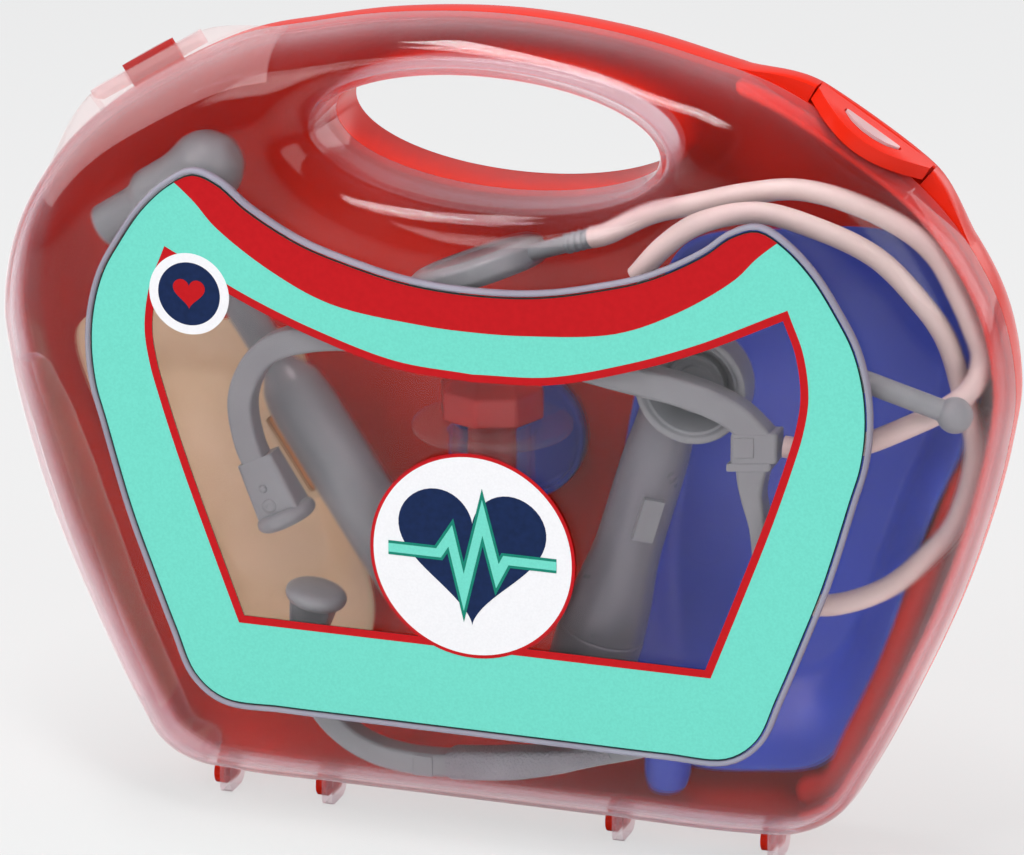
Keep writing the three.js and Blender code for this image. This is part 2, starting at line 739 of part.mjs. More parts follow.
// Ring of a round piece about an axis
function circle(centre, axis, radius, sides) {
  const turn = new THREE.Quaternion().setFromUnitVectors(new THREE.Vector3(0, 0, 1), axis);
  return Array.from({ length: sides }, (_, i) => {
    const angle = (i / sides) * Math.PI * 2;
    return new THREE.Vector3(Math.cos(angle) * radius, Math.sin(angle) * radius, 0)
      .applyQuaternion(turn)
      .add(centre);
  });
}

// Round piece from a profile of radii and distances along an axis
function turned(profile, from, axis, sides) {
  const unit = axis.clone().normalize();
  const ring = ([radius, along]) => circle(from.clone().addScaledVector(unit, along), unit, radius, sides);
  return stack(profile.map(ring));
}

// Open dish: rim towards the front, floor towards the back and drawn in about its middle
function dish(points, steps, rimPlace, floorPlace, floorShare, thick) {
  const loop = smoothLoop(points, steps);
  const middle = loop.reduce((sum, p) => sum.add(p), new THREE.Vector2()).divideScalar(steps);
  const ring = (inset, share, y) => offset(loop, -inset).map((p) => {
    const q = p.clone().sub(middle).multiplyScalar(share).add(middle);
    return new THREE.Vector3(q.x, y, q.y);
  });
  return stack([
    ring(0, floorShare, floorPlace), ring(0, 1, rimPlace), ring(thick, 1, rimPlace),
    ring(thick, floorShare, floorPlace - thick),
  ]);
}

function swept(route, lift, radius, sides) {
  const points = route.map(([x, y, z]) => new THREE.Vector3(x, y + lift, z));
  const path = new THREE.CatmullRomCurve3(points);
  const steps = Math.ceil(path.getLength() / (radius * sweepPitch));
  const section = shapeOf(Array.from({ length: sides }, (_, i) => {
    const angle = (i / sides) * Math.PI * 2;
    return [Math.cos(angle) * radius, Math.sin(angle) * radius];
  }));
  const options = { steps, extrudePath: path, bevelEnabled: false };
  return solid(new THREE.ExtrudeGeometry(section, options));
}

function block(size, centre) {
  return solid(new THREE.BoxGeometry(...size).translate(...centre));
}

function tray() {
  const [x, z] = slotCentre;
  const slot = block([slotWidth, frontDepth, slotHeight], [x, frontDepth, z]);
  return dish(trayRim, traySteps, trayRimPlace, seat, trayFloorShare, trayWall).subtract(slot);
}

function roundDish() {
  const [x, z] = roundDishCentre;
  const profile = [
    [roundDishRadius, 0], [roundDishRadius, roundDishDepth],
    [roundDishRadius - roundDishWall, roundDishDepth], [roundDishRadius - roundDishWall, roundDishWall],
  ];
  return turned(profile, new THREE.Vector3(x, seat, z), towardsFront, roundDishSides);
}

function peg() {
  const profile = [...sharesOf(pegDome, pegRadius, pegRadius), [pegRadius, pegTop - pegFoot]];
  const y = trayRimPlace - rest - pegRadius;
  return turned(profile, new THREE.Vector3(pegPlace, y, pegFoot), up, pegSides);
}

place('blue_tray', tray(), bluePlastic);
place('splint', dish(splintRim, splintSteps, splintRimPlace, seat, splintFloorShare, splintWall), creamPlastic);
place('round_dish', roundDish(), bluePlastic);
place('blue_peg', peg(), bluePlastic);

// Reflex hammer: the grip rests on the splint's rim
const hammerPlace = splintRimPlace - rest - gripRadius;
const hammerEnd = new THREE.Vector3(gripEnd[0], hammerPlace, gripEnd[1]);
const hammerCentre = new THREE.Vector3(hammerHeadCentre[0], hammerPlace, hammerHeadCentre[1]);
const hammerAxis = hammerCentre.clone().sub(hammerEnd).normalize();
const headAxis = new THREE.Vector3(hammerAxis.z, 0, -hammerAxis.x);

function hammerGrip() {
  const length = hammerCentre.distanceTo(hammerEnd) - headSocket - rest;
  const profile = [
    ...sharesOf(gripButt, gripRadius, gripRadius), [gripRadius, gripLength - gripRadius],
    [neckRadius, gripLength], [neckRadius, length],
  ];
  return turned(profile, hammerEnd, hammerAxis, hammerSides);
}

function hammerHead() {
  const [[waistEnd], [ballStart, ballShare]] = headWaist;
  const profile = [
    [headNarrow, -headShort], [headNarrow, -headWide], [headWide, -headWide * headShoulder],
    [headWide, headLong * waistEnd], [headBall * ballShare, headLong * ballStart], [headBall, headLong],
    ...sharesOf(headDome, headBall, headBall).map(([radius, along]) => [radius, headLong + along]),
  ];
  const head = turned(profile, hammerCentre, headAxis, hammerSides);
  const bore = [[neckRadius + rest, 0], [neckRadius + rest, headBall * 2]];
  const start = hammerCentre.clone().addScaledVector(hammerAxis, -headSocket);
  return head.subtract(turned(bore, start, hammerAxis.clone().negate(), hammerSides));
}

function clip() {
  const ends = clipAlong.map((along, i) => (
    hammerEnd.clone().addScaledVector(hammerAxis, along).addScaledVector(headAxis, -clipAside[i])
  ));
  const [from, to] = ends.map((p) => new THREE.Vector2(p.x, p.z));
  const along = to.clone().sub(from);
  const half = new THREE.Vector2(-along.y, along.x).setLength(clipWidth / 2);
  const near = [from, to].map((p) => p.clone().add(half));
  const far = [to, from].map((p) => p.clone().sub(half));
  const back = rest - splintRimPlace;
  return slab(shapeOf([...near, ...far]), back, back + clipThick);
}

place('hammer_grip', hammerGrip(), greyPlastic);
place('splint_clip', solid(clip()), apricotPlastic);
place('hammer_head', hammerHead(), greyPlastic);

// Otoscope: the handle rests on the tray's rim
const handleFrom = new THREE.Vector3(handleTop[0], handlePlace, handleTop[1]);
const handleTo = new THREE.Vector3(handleEnd[0], handlePlace, handleEnd[1]);
const handleAxis = handleTo.clone().sub(handleFrom);

function headBody(grow) {
  const [x, z] = otoscopeHead;
  const back = new THREE.Vector3(x, otoscopeHeadFront + otoscopeHeadDepth + grow, z);
  const radius = otoscopeHeadRadius + grow;
  const profile = [...sharesOf(headBack, radius, otoscopeHeadDepth), [radius, otoscopeHeadDepth + grow * 2]];
  return turned(profile, back, towardsFront, otoscopeSides);
}

function otoscopeHeadRing() {
  const [x, z] = otoscopeHead;
  const front = new THREE.Vector3(x, otoscopeHeadFront - overrun, z);
  const profile = [[otoscopeHeadRadius * recessMouth, 0], [lensRadius + rest, otoscopeRecess]];
  return headBody(0).subtract(turned(profile, front, towardsFront.clone().negate(), otoscopeSides));
}

function lens() {
  const [x, z] = otoscopeHead;
  const floor = new THREE.Vector3(x, otoscopeHeadFront - overrun + otoscopeRecess - rest, z);
  return turned([[lensRadius, 0], [lensRadius, lensDepth]], floor, towardsFront, otoscopeSides);
}

function handle() {
  const length = handleAxis.length();
  const neckStart = handleFrom.clone().addScaledVector(handleAxis, -handleJoin);
  const profile = handleRadii.map(([radius, share]) => [radius, (share + handleJoin) * length]);
  profile.unshift([handleRadii[0][0], 0]);
  const trackLength = switchLength + switchTravel + rest * 2;
  const trackWidth = switchWidth + rest * 2;
  const track = onHandle(trackWidth, switchThick + overrun, trackLength, switchSink, switchTravel / 2);
  return turned(profile, neckStart, handleAxis, handleSides).subtract(headBody(rest)).subtract(track);
}

// A block sunk into the handle's side and moved towards the handle's end
function onHandle(width, thick, length, sink, shift) {
  const centre = handleFrom.clone().addScaledVector(handleAxis, switchAlong);
  const tilt = Math.atan2(handleAxis.x, -handleAxis.z);
  const radius = handleRadii[1][0] - sink;
  const piece = new THREE.BoxGeometry(width, thick, length);
  piece.translate(0, -radius - thick / 2, -shift);
  piece.rotateZ(THREE.MathUtils.degToRad(switchTurn)).rotateY(-tilt);
  return solid(piece.translate(...centre));
}

function thumbSwitch() {
  return onHandle(switchWidth, switchThick, switchLength, switchSink - rest, 0);
}

place('otoscope_handle', handle(), greyPlastic);
place('otoscope_head', otoscopeHeadRing(), greyPlastic);
place('otoscope_lens', lens(), greyPlastic);
place('otoscope_switch', thumbSwitch(), greyPlastic);

// Syringe: its flange touches the round dish
const syringeY = seat - roundDishDepth - rest - flangeRadius;

function barrel() {
  const inner = barrelRadius - barrelWall;
  const foot = new THREE.Vector3(syringeX, syringeY, barrelFoot - nozzleLength);
  const shoulder = nozzleLength * nozzleShoulder;
  const top = barrelTop - foot.z;
  const outside = turned([
    [nozzleRadius * nozzleTip, 0], [nozzleRadius, nozzleLength], [barrelRadius, shoulder],
    [barrelRadius, top], [flangeRadius, top], [flangeRadius, top + flangeThick],
  ], foot, up, syringeSides);
  const bore = turned([
    [nozzleBore, -overrun], [nozzleBore, shoulder + barrelWall], [inner, shoulder + barrelWall + boreCone],
    [inner, top + flangeThick + overrun],
  ], foot, up, syringeSides);
  return outside.subtract(bore);
}

function plunger() {
  const foot = barrelFoot + nozzleLength * (nozzleShoulder - 1) + boreCone + barrelWall + pistonRise;
  const cap = barrelTop + flangeThick + plungerGap;
  const from = new THREE.Vector3(syringeX, syringeY, foot);
  const capProfile = sharesOf(plungerCap, plungerCapRadius, plungerCapHeight);
  return turned([
    [pistonRadius, 0], [pistonRadius, pistonHeight], [plungerRodRadius, pistonHeight],
    [plungerRodRadius, cap - foot],
    ...capProfile.map(([radius, along]) => [radius, cap - foot + along]),
  ], from, up, syringeSides);
}

place('syringe_barrel', barrel(), clearPlastic);
place('syringe_plunger', plunger(), redPlastic);

// Stethoscope
function junctionBlock(grow) {
  const [x, z] = junctionPlace;
  return block(junctionSize.map((size) => size + grow * 2), [x, armPlace, z]);
}

function bud({ from, to }, grow) {
  const start = new THREE.Vector3(from[0], budPlace, from[1]);
  const axis = new THREE.Vector3(to[0], budPlace, to[1]).sub(start);
  const length = axis.length();
  const discStart = length - budDiscThick - grow;
  return turned([
    [budCollarRadius * budNeck + grow, -grow], [budCollarRadius + grow, budNeckLength],
    [budCollarRadius + grow, discStart], [budDiscRadius + grow, discStart],
    [budDiscRadius + grow, length + grow],
  ], start, axis, budSides);
}

const upperArm = swept(upperArmRoute, armPlace, armRadius, armSides)
  .subtract(junctionBlock(rest))
  .subtract(bud(upperBud, rest));
const lowerArm = swept(lowerArmRoute, armPlace, armRadius, armSides)
  .subtract(junctionBlock(rest))
  .subtract(bud(lowerBud, rest));

// Chest piece: a disc whose stem comes out of its rim
const chestCentre = new THREE.Vector3(...chestPieceCentre);
const stemEnd = new THREE.Vector3(...stemTo);
const stemAxis = stemEnd.clone().sub(chestCentre).normalize();
const chestAxis = up.clone().addScaledVector(stemAxis, -stemAxis.z).normalize();

function chestPiece() {
  const foot = chestCentre.clone().addScaledVector(chestAxis, -chestPieceHeight / 2);
  const radius = chestPieceRadius;
  const disc = turned([
    [radius - chestRimWidth, 0], [radius, chestRimWidth], [radius, chestPieceHeight - chestRimWidth],
    [radius - chestRimWidth * 2, chestPieceHeight],
  ], foot, chestAxis, chestSides);
  const start = chestCentre.clone().addScaledVector(stemAxis, radius - chestSocket - rest);
  const profile = [[stemRadius + rest, 0], [stemRadius + rest, chestSocket * 2]];
  const bore = turned(profile, start, stemAxis, stemSides);
  return disc.subtract(bore);
}

function stem() {
  const from = chestCentre.clone().addScaledVector(stemAxis, chestPieceRadius - chestSocket);
  const length = stemEnd.distanceTo(from);
  const profile = [[stemRadius, 0]];
  const start = length - stemRibs * stemRibPitch;
  for (let i = 0; i < stemRibs; i += 1) {
    profile.push(...stemRib.map(([radius, share]) => [radius, start + (i + share) * stemRibPitch]));
  }
  profile.push([stemRadius, length]);
  return turned(profile, from, stemAxis, stemSides);
}

const tubeStart = [rest, tubeLead].map((away) => stemEnd.clone().addScaledVector(stemAxis, away).toArray());
const firstTube = swept([...tubeStart, ...tubeRoute], 0, tubeRadius, tubeSides).subtract(junctionBlock(rest));

place('headset_junction', junctionBlock(0), greyPlastic);
place('headset_upper_arm', upperArm, greyPlastic);
place('headset_lower_arm', lowerArm, greyPlastic);
place('ear_bud_upper', bud(upperBud, 0), greyPlastic);
place('ear_bud_lower', bud(lowerBud, 0), greyPlastic);
place('chest_piece', chestPiece(), greyPlastic);
place('chest_stem', stem(), greyPlastic);
place('stethoscope_tube', firstTube, tubePlastic);
place('second_tube', swept(secondTubeRoute, 0, tubeRadius, tubeSides), tubePlastic);

function rod() {
  const ball = new THREE.Vector3(...rodBall);
  const axis = new THREE.Vector3(...rodEnd).sub(ball);
  return turned([
    ...sharesOf(ballShares, ballRadius, ballRadius), [rodRadius, ballRadius * ballNeck],
    [rodRadius, axis.length()],
  ], ball, axis, rodSides);
}

place('ball_rod', rod(), greyPlastic);

export default object;
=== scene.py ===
import math

import bmesh
import bpy
import numpy as np
from mathutils import Matrix, Vector
from mathutils.geometry import tessellate_polygon


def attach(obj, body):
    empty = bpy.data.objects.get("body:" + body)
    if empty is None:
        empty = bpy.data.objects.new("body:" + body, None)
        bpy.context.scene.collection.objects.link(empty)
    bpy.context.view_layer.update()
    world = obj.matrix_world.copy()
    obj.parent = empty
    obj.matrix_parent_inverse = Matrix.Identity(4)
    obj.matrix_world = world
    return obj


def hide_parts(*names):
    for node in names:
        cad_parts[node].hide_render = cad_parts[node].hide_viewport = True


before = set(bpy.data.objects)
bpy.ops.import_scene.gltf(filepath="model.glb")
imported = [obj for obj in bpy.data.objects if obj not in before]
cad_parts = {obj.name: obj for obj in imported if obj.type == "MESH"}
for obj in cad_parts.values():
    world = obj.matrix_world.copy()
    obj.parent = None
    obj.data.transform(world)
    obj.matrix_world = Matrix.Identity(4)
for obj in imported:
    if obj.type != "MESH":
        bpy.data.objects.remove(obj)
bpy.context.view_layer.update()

# Lengths below are in millimetres, as in the part, and become metres as each mesh is made
MM = 0.001
scene = bpy.context.scene
scene.view_settings.view_transform = "Standard"

# Camera at the photograph's viewing angle
AZIMUTH = math.radians(18.57)
ELEVATION = math.radians(19.07)
CAMERA_PLACE = (0.666, -1.977, 0.8402)
FOCAL_LENGTH = 273.3
SENSOR_WIDTH = 36
level = math.cos(ELEVATION)
back = Vector((level * math.sin(AZIMUTH), -level * math.cos(AZIMUTH), math.sin(ELEVATION)))
side = Vector((math.cos(AZIMUTH), math.sin(AZIMUTH), 0))
camera_data = bpy.data.cameras.new("camera")
camera_data.sensor_width = SENSOR_WIDTH
camera_data.lens = FOCAL_LENGTH
camera_data.clip_end = 30
camera = bpy.data.objects.new("camera", camera_data)
aim = Matrix((side, back.cross(side), back)).transposed().to_4x4()
camera.matrix_world = Matrix.Translation(CAMERA_PLACE) @ aim
scene.collection.objects.link(camera)
scene.camera = camera


# Lines and outlines

def bezier(start, corner, end, t):
    """Point on the bend between two ends that leans towards a corner."""
    return (1 - t) ** 2 * start + 2 * t * (1 - t) * corner + t * t * end


def eased(share):
    """A share from 0 to 1 that starts and stops gently."""
    return share**2 * (3 - 2 * share)


def blunt(share, least):
    """Thickness of a round end at a share of its length."""
    return math.sqrt(max(1 - (1 - min(share, 1)) ** 2, least))


def spline(points, closed=False, per=24):
    """Centripetal Catmull-Rom line through the points."""
    pts = np.array(points, float)
    count = len(pts)
    out = []
    for i in range(count if closed else count - 1):
        p1, p2 = pts[i], pts[(i + 1) % count]
        p0 = pts[i - 1] if closed or i > 0 else 2 * pts[0] - pts[1]
        p3 = pts[(i + 2) % count] if closed or i + 2 < count else 2 * pts[-1] - pts[-2]
        d0, d1, d2 = (math.sqrt(np.linalg.norm(b - a)) for a, b in ((p0, p1), (p1, p2), (p2, p3)))
        t1 = ((p1 - p0) / d0 - (p2 - p0) / (d0 + d1) + (p2 - p1) / d1) * d1
        t2 = ((p2 - p1) / d1 - (p3 - p1) / (d1 + d2) + (p3 - p2) / d2) * d1
        for s in np.arange(per) / per:
            start, leave = 2 * s**3 - 3 * s**2 + 1, s**3 - 2 * s**2 + s
            end, arrive = 3 * s**2 - 2 * s**3, s**3 - s**2
            out.append(start * p1 + leave * t1 + end * p2 + arrive * t2)
    if not closed:
        out.append(pts[-1])
    return np.array(out)


def evenly(line, count, closed=False):
    """The line again with evenly spaced points."""
    line = np.vstack([line, line[:1]]) if closed else line
    run = np.concatenate([[0], np.cumsum(np.linalg.norm(np.diff(line, axis=0), axis=1))])
    at = np.linspace(0, run[-1], count + 1)[:-1] if closed else np.linspace(0, run[-1], count)
    return np.stack([np.interp(at, run, line[:, k]) for k in range(line.shape[1])], 1)


def unit(vector):
    return vector / np.linalg.norm(vector)


def rounded(points, radius, steps=4, closed=False):
    """A polyline with its corners rounded, by one radius or one for each corner."""
    pts = [np.array(p, float) for p in points]
    radii = radius if hasattr(radius, "__len__") else [radius] * len(pts)
    most = 0.48
    out = []
    for i, p in enumerate(pts):
        if radii[i] == 0 or (not closed and i in (0, len(pts) - 1)):
            out.append(p)
            continue
        before, after = pts[i - 1] - p, pts[(i + 1) % len(pts)] - p
        reach = [np.linalg.norm(v) for v in (before, after)]
        cut = min(radii[i], reach[0] * most, reach[1] * most)
        start, end = p + before / reach[0] * cut, p + after / reach[1] * cut
        out += [bezier(start, p, end, t) for t in np.linspace(0, 1, steps + 1)]
    return np.array(out)


def mirror(points):
    return [(-x, z) for x, z in reversed(points)]


def mirrored(half):
    """A whole outline from its right half, whose ends lie on the middle line."""
    right = [tuple(p) for p in half[1:-1]]
    return [tuple(half[0])] + right + [tuple(half[-1])] + mirror(right)


def normals_of(loop):
    """Outward normals of a loop that runs clockwise as seen from the front."""
    along = np.roll(loop, -1, 0) - np.roll(loop, 1, 0)
    along /= np.linalg.norm(along, axis=1)[:, None]
    return np.stack([-along[:, 1], along[:, 0]], 1)


def offset(loop, distance):
    return loop + normals_of(loop) * distance


def grown(loop, distance):
    """A loop with sharp corners, moved outward."""
    before, after = loop - np.roll(loop, 1, 0), np.roll(loop, -1, 0) - loop
    before /= np.linalg.norm(before, axis=1)[:, None]
    after /= np.linalg.norm(after, axis=1)[:, None]
    n1 = np.stack([-before[:, 1], before[:, 0]], 1)
    n2 = np.stack([-after[:, 1], after[:, 0]], 1)
    return loop + (n1 + n2) * (distance / (1 + (n1 * n2).sum(1)))[:, None]


def disc(radius, centre, count=96):
    turn = np.linspace(0, -math.tau, count, endpoint=False)
    return np.stack([centre[0] + radius * np.cos(turn), centre[1] + radius * np.sin(turn)], 1)


def box(half_width, half_height, corner, steps):
    corners = [(x * half_width, y * half_height) for x, y in ((-1, -1), (1, -1), (1, 1), (-1, 1))]
    return rounded(corners, corner, steps, closed=True)


def bow(half_width, near, far, steps=24):
    """A bowed line from right to left, with its ends at near and its middle at far."""
    reach = 2 * far - near
    return [(half_width * (1 - 2 * t), bezier(near, reach, near, t)) for t in np.linspace(0, 1, steps + 1)]


def heart(width, centre):
    t = np.linspace(0, math.tau, 90, endpoint=False)
    x = 16 * np.sin(t) ** 3
    z = 13 * np.cos(t) - 5 * np.cos(2 * t) - 2 * np.cos(3 * t) - np.cos(4 * t)
    return np.stack([centre[0] + x * width / 32, centre[1] + (z + 2) * width / 32], 1)


def stroke(line, width):
    """A line drawn with a pen of that width."""
    line = np.array(line, float)
    run = np.diff(line, axis=0)
    run /= np.linalg.norm(run, axis=1)[:, None]
    sideways = np.stack([-run[:, 1], run[:, 0]], 1)
    before, after = np.vstack([sideways[:1], sideways]), np.vstack([sideways, sideways[-1:]])
    lean = (before + after) * (width / 2 / (1 + (before * after).sum(1)))[:, None]
    return np.vstack([line + lean, (line - lean)[::-1]])


# Finishes

def linear(code):
    """A colour written as six hexadecimal digits, in linear values."""
    channels = [int(code[i:i + 2], 16) / 255 for i in (0, 2, 4)]
    return tuple(c / 12.92 if c <= 0.04045 else ((c + 0.055) / 1.055) ** 2.4 for c in channels) + (1,)


def feed(tree, node, inputs):
    """Sets a node's inputs to plain values or links them to the outputs of other nodes."""
    for key, value in inputs.items():
        if isinstance(value, bpy.types.NodeSocket):
            tree.links.new(value, node.inputs[key])
        else:
            node.inputs[key].default_value = value
    return node


def add(tree, kind, inputs):
    return feed(tree, tree.nodes.new(kind), inputs)


def calc(tree, operation, first, second):
    node = add(tree, "ShaderNodeMath", {0: first, 1: second})
    node.operation = operation
    return node.outputs["Value"]


def spread(tree, share, low, high):
    """A share from 0 to 1 as a value between two others."""
    return add(tree, "ShaderNodeMapRange", {"Value": share, "To Min": low, "To Max": high}).outputs["Result"]


def plastic(name, slot, tone, shade, roughness, mottle=35, relief=0.02, grain=900, **sockets):
    """Moulded plastic: a slight drift of colour, uneven gloss and a fine relief."""
    material = bpy.data.materials.new(name)
    material.use_nodes = True
    tree = material.node_tree
    where = tree.nodes.new("ShaderNodeTexCoord").outputs["Object"]

    def noise(scale, detail):
        node = add(tree, "ShaderNodeTexNoise", {"Vector": where, "Scale": scale, "Detail": detail})
        return node.outputs["Fac"]

    ramp = add(tree, "ShaderNodeValToRGB", {"Fac": noise(mottle, 4)})
    for stop, position, code in zip(ramp.color_ramp.elements, (0.35, 0.65), (shade, tone)):
        stop.position = position
        stop.color = linear(code)
    bump = add(tree, "ShaderNodeBump", {"Strength": relief, "Distance": 0.001, "Height": noise(grain, 2)})
    feed(tree, tree.nodes["Principled BSDF"], {
        "Base Color": ramp.outputs["Color"],
        "Roughness": spread(tree, noise(mottle * 4, 3), roughness * 0.8, roughness * 1.2),
        "Normal": bump.outputs["Normal"],
        **{socket.replace("_", " "): value for socket, value in sockets.items()},
    })
    return material


def see_through(name, tone, shade, roughness, ior=1.03, **sockets):
    """Clear plastic, which hardly bends light, so that what lies behind it stays sharp."""
    return plastic(name, "clear_plastic", tone, shade, roughness, relief=0.01, grain=60, IOR=ior, **sockets)


def frosted(material, facing, grazing, sharpness, film):
    """Clear face on and milky where it is seen edge on; film is how much of it covers face on."""
    tree = material.node_tree
    tilt = add(tree, "ShaderNodeLayerWeight", {"Blend": 0.5}).outputs["Facing"]
    feed(tree, tree.nodes["Principled BSDF"], {
        "Transmission Weight": spread(tree, calc(tree, "POWER", tilt, sharpness), facing, grazing),
        "Alpha": spread(tree, tilt, film, 1.0),
    })
    return material


clear = see_through("clear_shell", "fae0e6", "f7d8e0", 0.08, Coat_Weight=1.0, Coat_Roughness=0.06, Coat_IOR=1.5)
frosted(clear, facing=1.0, grazing=0.1, sharpness=3.8, film=0.28)
clear_latch = see_through("clear_latch", "f6c2c2", "f2baba", 0.12, Transmission_Weight=0.5, Alpha=0.42,
                          Coat_Weight=0.6)
clear_catch = see_through("clear_catch", "f8d6d8", "f4cccf", 0.12, Transmission_Weight=0.35, Alpha=0.85,
                          Coat_Weight=0.6)
clear_pad = see_through("clear_pad", "f8d2d0", "f6cac8", 0.12, Transmission_Weight=0.4, Alpha=0.2, Coat_Weight=0.6)
# Painted sheen: the bead is the shell's clear plastic, given a grey-lilac tone and little transparency for the
# light line it shows
clear_bead_painted_sheen = see_through("clear_bead_painted_sheen", "a8a6b4", "9e9cac", 0.2, ior=1.3, Alpha=0.75)
clear_solid = see_through("clear_barrel", "fdf3f1", "fbefed", 0.07, Transmission_Weight=0.9, Alpha=0.4,
                          Coat_Weight=1.0)
red_shell = plastic("red_shell", "red_plastic", "e62406", "e12206", 0.24, relief=0.01, grain=60, IOR=1.4,
                    Transmission_Weight=0.05, Specular_IOR_Level=0.25)
red_solid = plastic("red_moulding", "red_plastic", "c01810", "b4120c", 0.22)
grey = plastic("grey_moulding", "grey_plastic", "929fa0", "889596", 0.34, relief=0.04)
# Painted shade: the otoscope's handle is the same grey plastic as the rest, made darker for the dimmer light on it
grey_painted_shade = plastic("grey_handle_painted_shade", "grey_plastic", "7d868c", "747d83", 0.3, relief=0.04)
grey_knurl = plastic("grey_knurl", "grey_plastic", "99a2a6", "8a9397", 0.5, relief=0.7, grain=1400)
blue = plastic("blue_moulding", "blue_plastic", "3a5ad2", "3652c8", 0.36, relief=0.05)
cream = plastic("cream_moulding", "cream_plastic", "eedcb4", "e6d2a6", 0.5, mottle=60, relief=0.12)
apricot = plastic("apricot_moulding", "apricot_plastic", "ffbe7e", "fab272", 0.45)
vinyl = plastic("tube_vinyl", "tube_vinyl", "e2d8d0", "dacec5", 0.42, relief=0.06)


def print_ink(name, tone, shade, mottle=500):
    return plastic(name, "label_card", tone, shade, 0.55, mottle=mottle, relief=0.05, grain=1600,
                   Specular_IOR_Level=0.12)


teal_print = print_ink("teal_print", "70d4c2", "6ccebc", 1500)
red_print = print_ink("red_print", "bc1018", "b60e16")
white_print = print_ink("white_print", "ebeaec", "e7e6e8", 1500)
navy_print = print_ink("navy_print", "12264f", "0e2146")
green_print = print_ink("green_print", "12806c", "107966")
# Painted shadow: the card's dark tone draws a thin shadow line round the label and its window
edge_painted_shadow = print_ink("label_edge_painted_shadow", "173a38", "12302f")

# Pieces
CREASE = 38
BEVEL_ANGLE = 34
FRONTWARD = np.array((0, -1, 0), float)
UPWARD = (0, 0, 1)


def piece(name, points, faces, look, body, *nodes, crease=CREASE):
    mesh = bpy.data.meshes.new(name)
    mesh.from_pydata([tuple(p) for p in np.asarray(points, float) * MM], [], faces)
    work = bmesh.new()
    work.from_mesh(mesh)
    bmesh.ops.recalc_face_normals(work, faces=work.faces)
    work.to_mesh(mesh)
    work.free()
    mesh.shade_smooth()
    mesh.set_sharp_from_angle(angle=math.radians(crease))
    mesh.materials.append(look)
    obj = bpy.data.objects.new(name, mesh)
    scene.collection.objects.link(obj)
    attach(obj, body)
    if nodes:
        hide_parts(*nodes)
    return obj


def skin(rings, closed=False):
    """Points and faces of a skin over a row of rings with equal counts."""
    rings = np.asarray(rings, float)
    rows, count = rings.shape[:2]
    faces = []
    for j in range(rows if closed else rows - 1):
        low, high = j * count, (j + 1) % rows * count
        for i in range(count):
            n = (i + 1) % count
            faces.append((low + i, low + n, high + n, high + i))
    if not closed:
        faces.append(tuple(range(count)))
        faces.append(tuple(range((rows - 1) * count, rows * count)))
    return rings.reshape(-1, 3), faces


def lathe(name, profile, start, axis, look, body, *nodes, sides=64, crease=CREASE, closed=False):
    """Round piece from radii and distances along an axis."""
    least_radius = 0.01
    along = unit(np.array(axis, float))
    across = unit(np.cross(along, (0, 1, 0) if abs(along[1]) < 0.9 else (1, 0, 0)))
    upward = np.cross(along, across)
    turn = np.linspace(0, math.tau, sides, endpoint=False)[:, None]
    spokes = np.cos(turn) * across + np.sin(turn) * upward
    rings = [np.array(start, float) + along * a + spokes * max(r, least_radius) for r, a in profile]
    return piece(name, *skin(rings, closed), look, body, *nodes, crease=crease)


def sweep(name, path, section, look, body, node, size, crease=CREASE):
    """A section drawn across and towards the front, carried along a path at the sizes given."""
    tangent = np.gradient(path, axis=0)
    tangent /= np.linalg.norm(tangent, axis=1)[:, None]
    front = FRONTWARD - tangent * (tangent @ FRONTWARD)[:, None]
    front /= np.linalg.norm(front, axis=1)[:, None]
    across = np.cross(tangent, front)
    rings = [
        path[i] + np.outer(section[:, 0] * size[i][0], across[i]) + np.outer(section[:, 1] * size[i][1], front[i])
        for i in range(len(path))
    ]
    piece(name, *skin(rings), look, body, node, crease=crease)


def soften(obj, width, segments=3):
    """Rounds the edges of a mesh that is drawn with sharp ones."""
    bevel = obj.modifiers.new("bevel", "BEVEL")
    bevel.width = width * MM
    bevel.segments = segments
    bevel.limit_method = "ANGLE"
    bevel.angle_limit = math.radians(BEVEL_ANGLE)
    bevel.harden_normals = True


def plate(name, outline, low, high, put, look, body, *nodes, holes=(), bevel=0.0):
    """A flat plate with holes, drawn in two directions and given a range in the third."""
    loops = [np.array(loop, float) for loop in (outline, *holes)]
    flat = np.vstack(loops)
    count = len(flat)
    triangles = tessellate_polygon([[Vector((x, y, 0)) for x, y in loop] for loop in loops])
    points = [put(x, y, height) for height in (low, high) for x, y in flat]
    faces = [tuple(t) for t in triangles] + [tuple(i + count for i in reversed(t)) for t in triangles]
    first = 0
    for loop in loops:
        for i in range(len(loop)):
            n = (i + 1) % len(loop)
            faces.append((first + i, first + n, first + n + count, first + i + count))
        first += len(loop)
    obj = piece(name, points, faces, look, body, *nodes)
    if bevel:
        soften(obj, bevel)


def upright(x, z, depth):
    return (x, -depth, z)


def at_depth(loop, depth):
    """A flat loop set at one depth in front of the parting plane."""
    return np.stack([loop[:, 0], np.full(len(loop), -depth), loop[:, 1]], 1)


def turned(points):
    return np.asarray(points, float) * (-1, -1, 1)


# Cords
TUBE_RADIUS = 3.1


def cord(name, route):
    line = evenly(spline(route), 150)
    curve = bpy.data.curves.new(name, "CURVE")
    curve.dimensions = "3D"
    curve.bevel_depth = TUBE_RADIUS * MM
    curve.bevel_resolution = 8
    curve.use_fill_caps = True
    run = curve.splines.new("POLY")
    run.points.add(len(line) - 1)
    for point, place in zip(run.points, line * MM):
        point.co = (*place, 1)
    run.use_smooth = True
    curve.materials.append(vinyl)
    obj = bpy.data.objects.new(name, curve)
    scene.collection.objects.link(obj)
    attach(obj, "rear_half")
    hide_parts(name.replace("_cord", "_tube"))


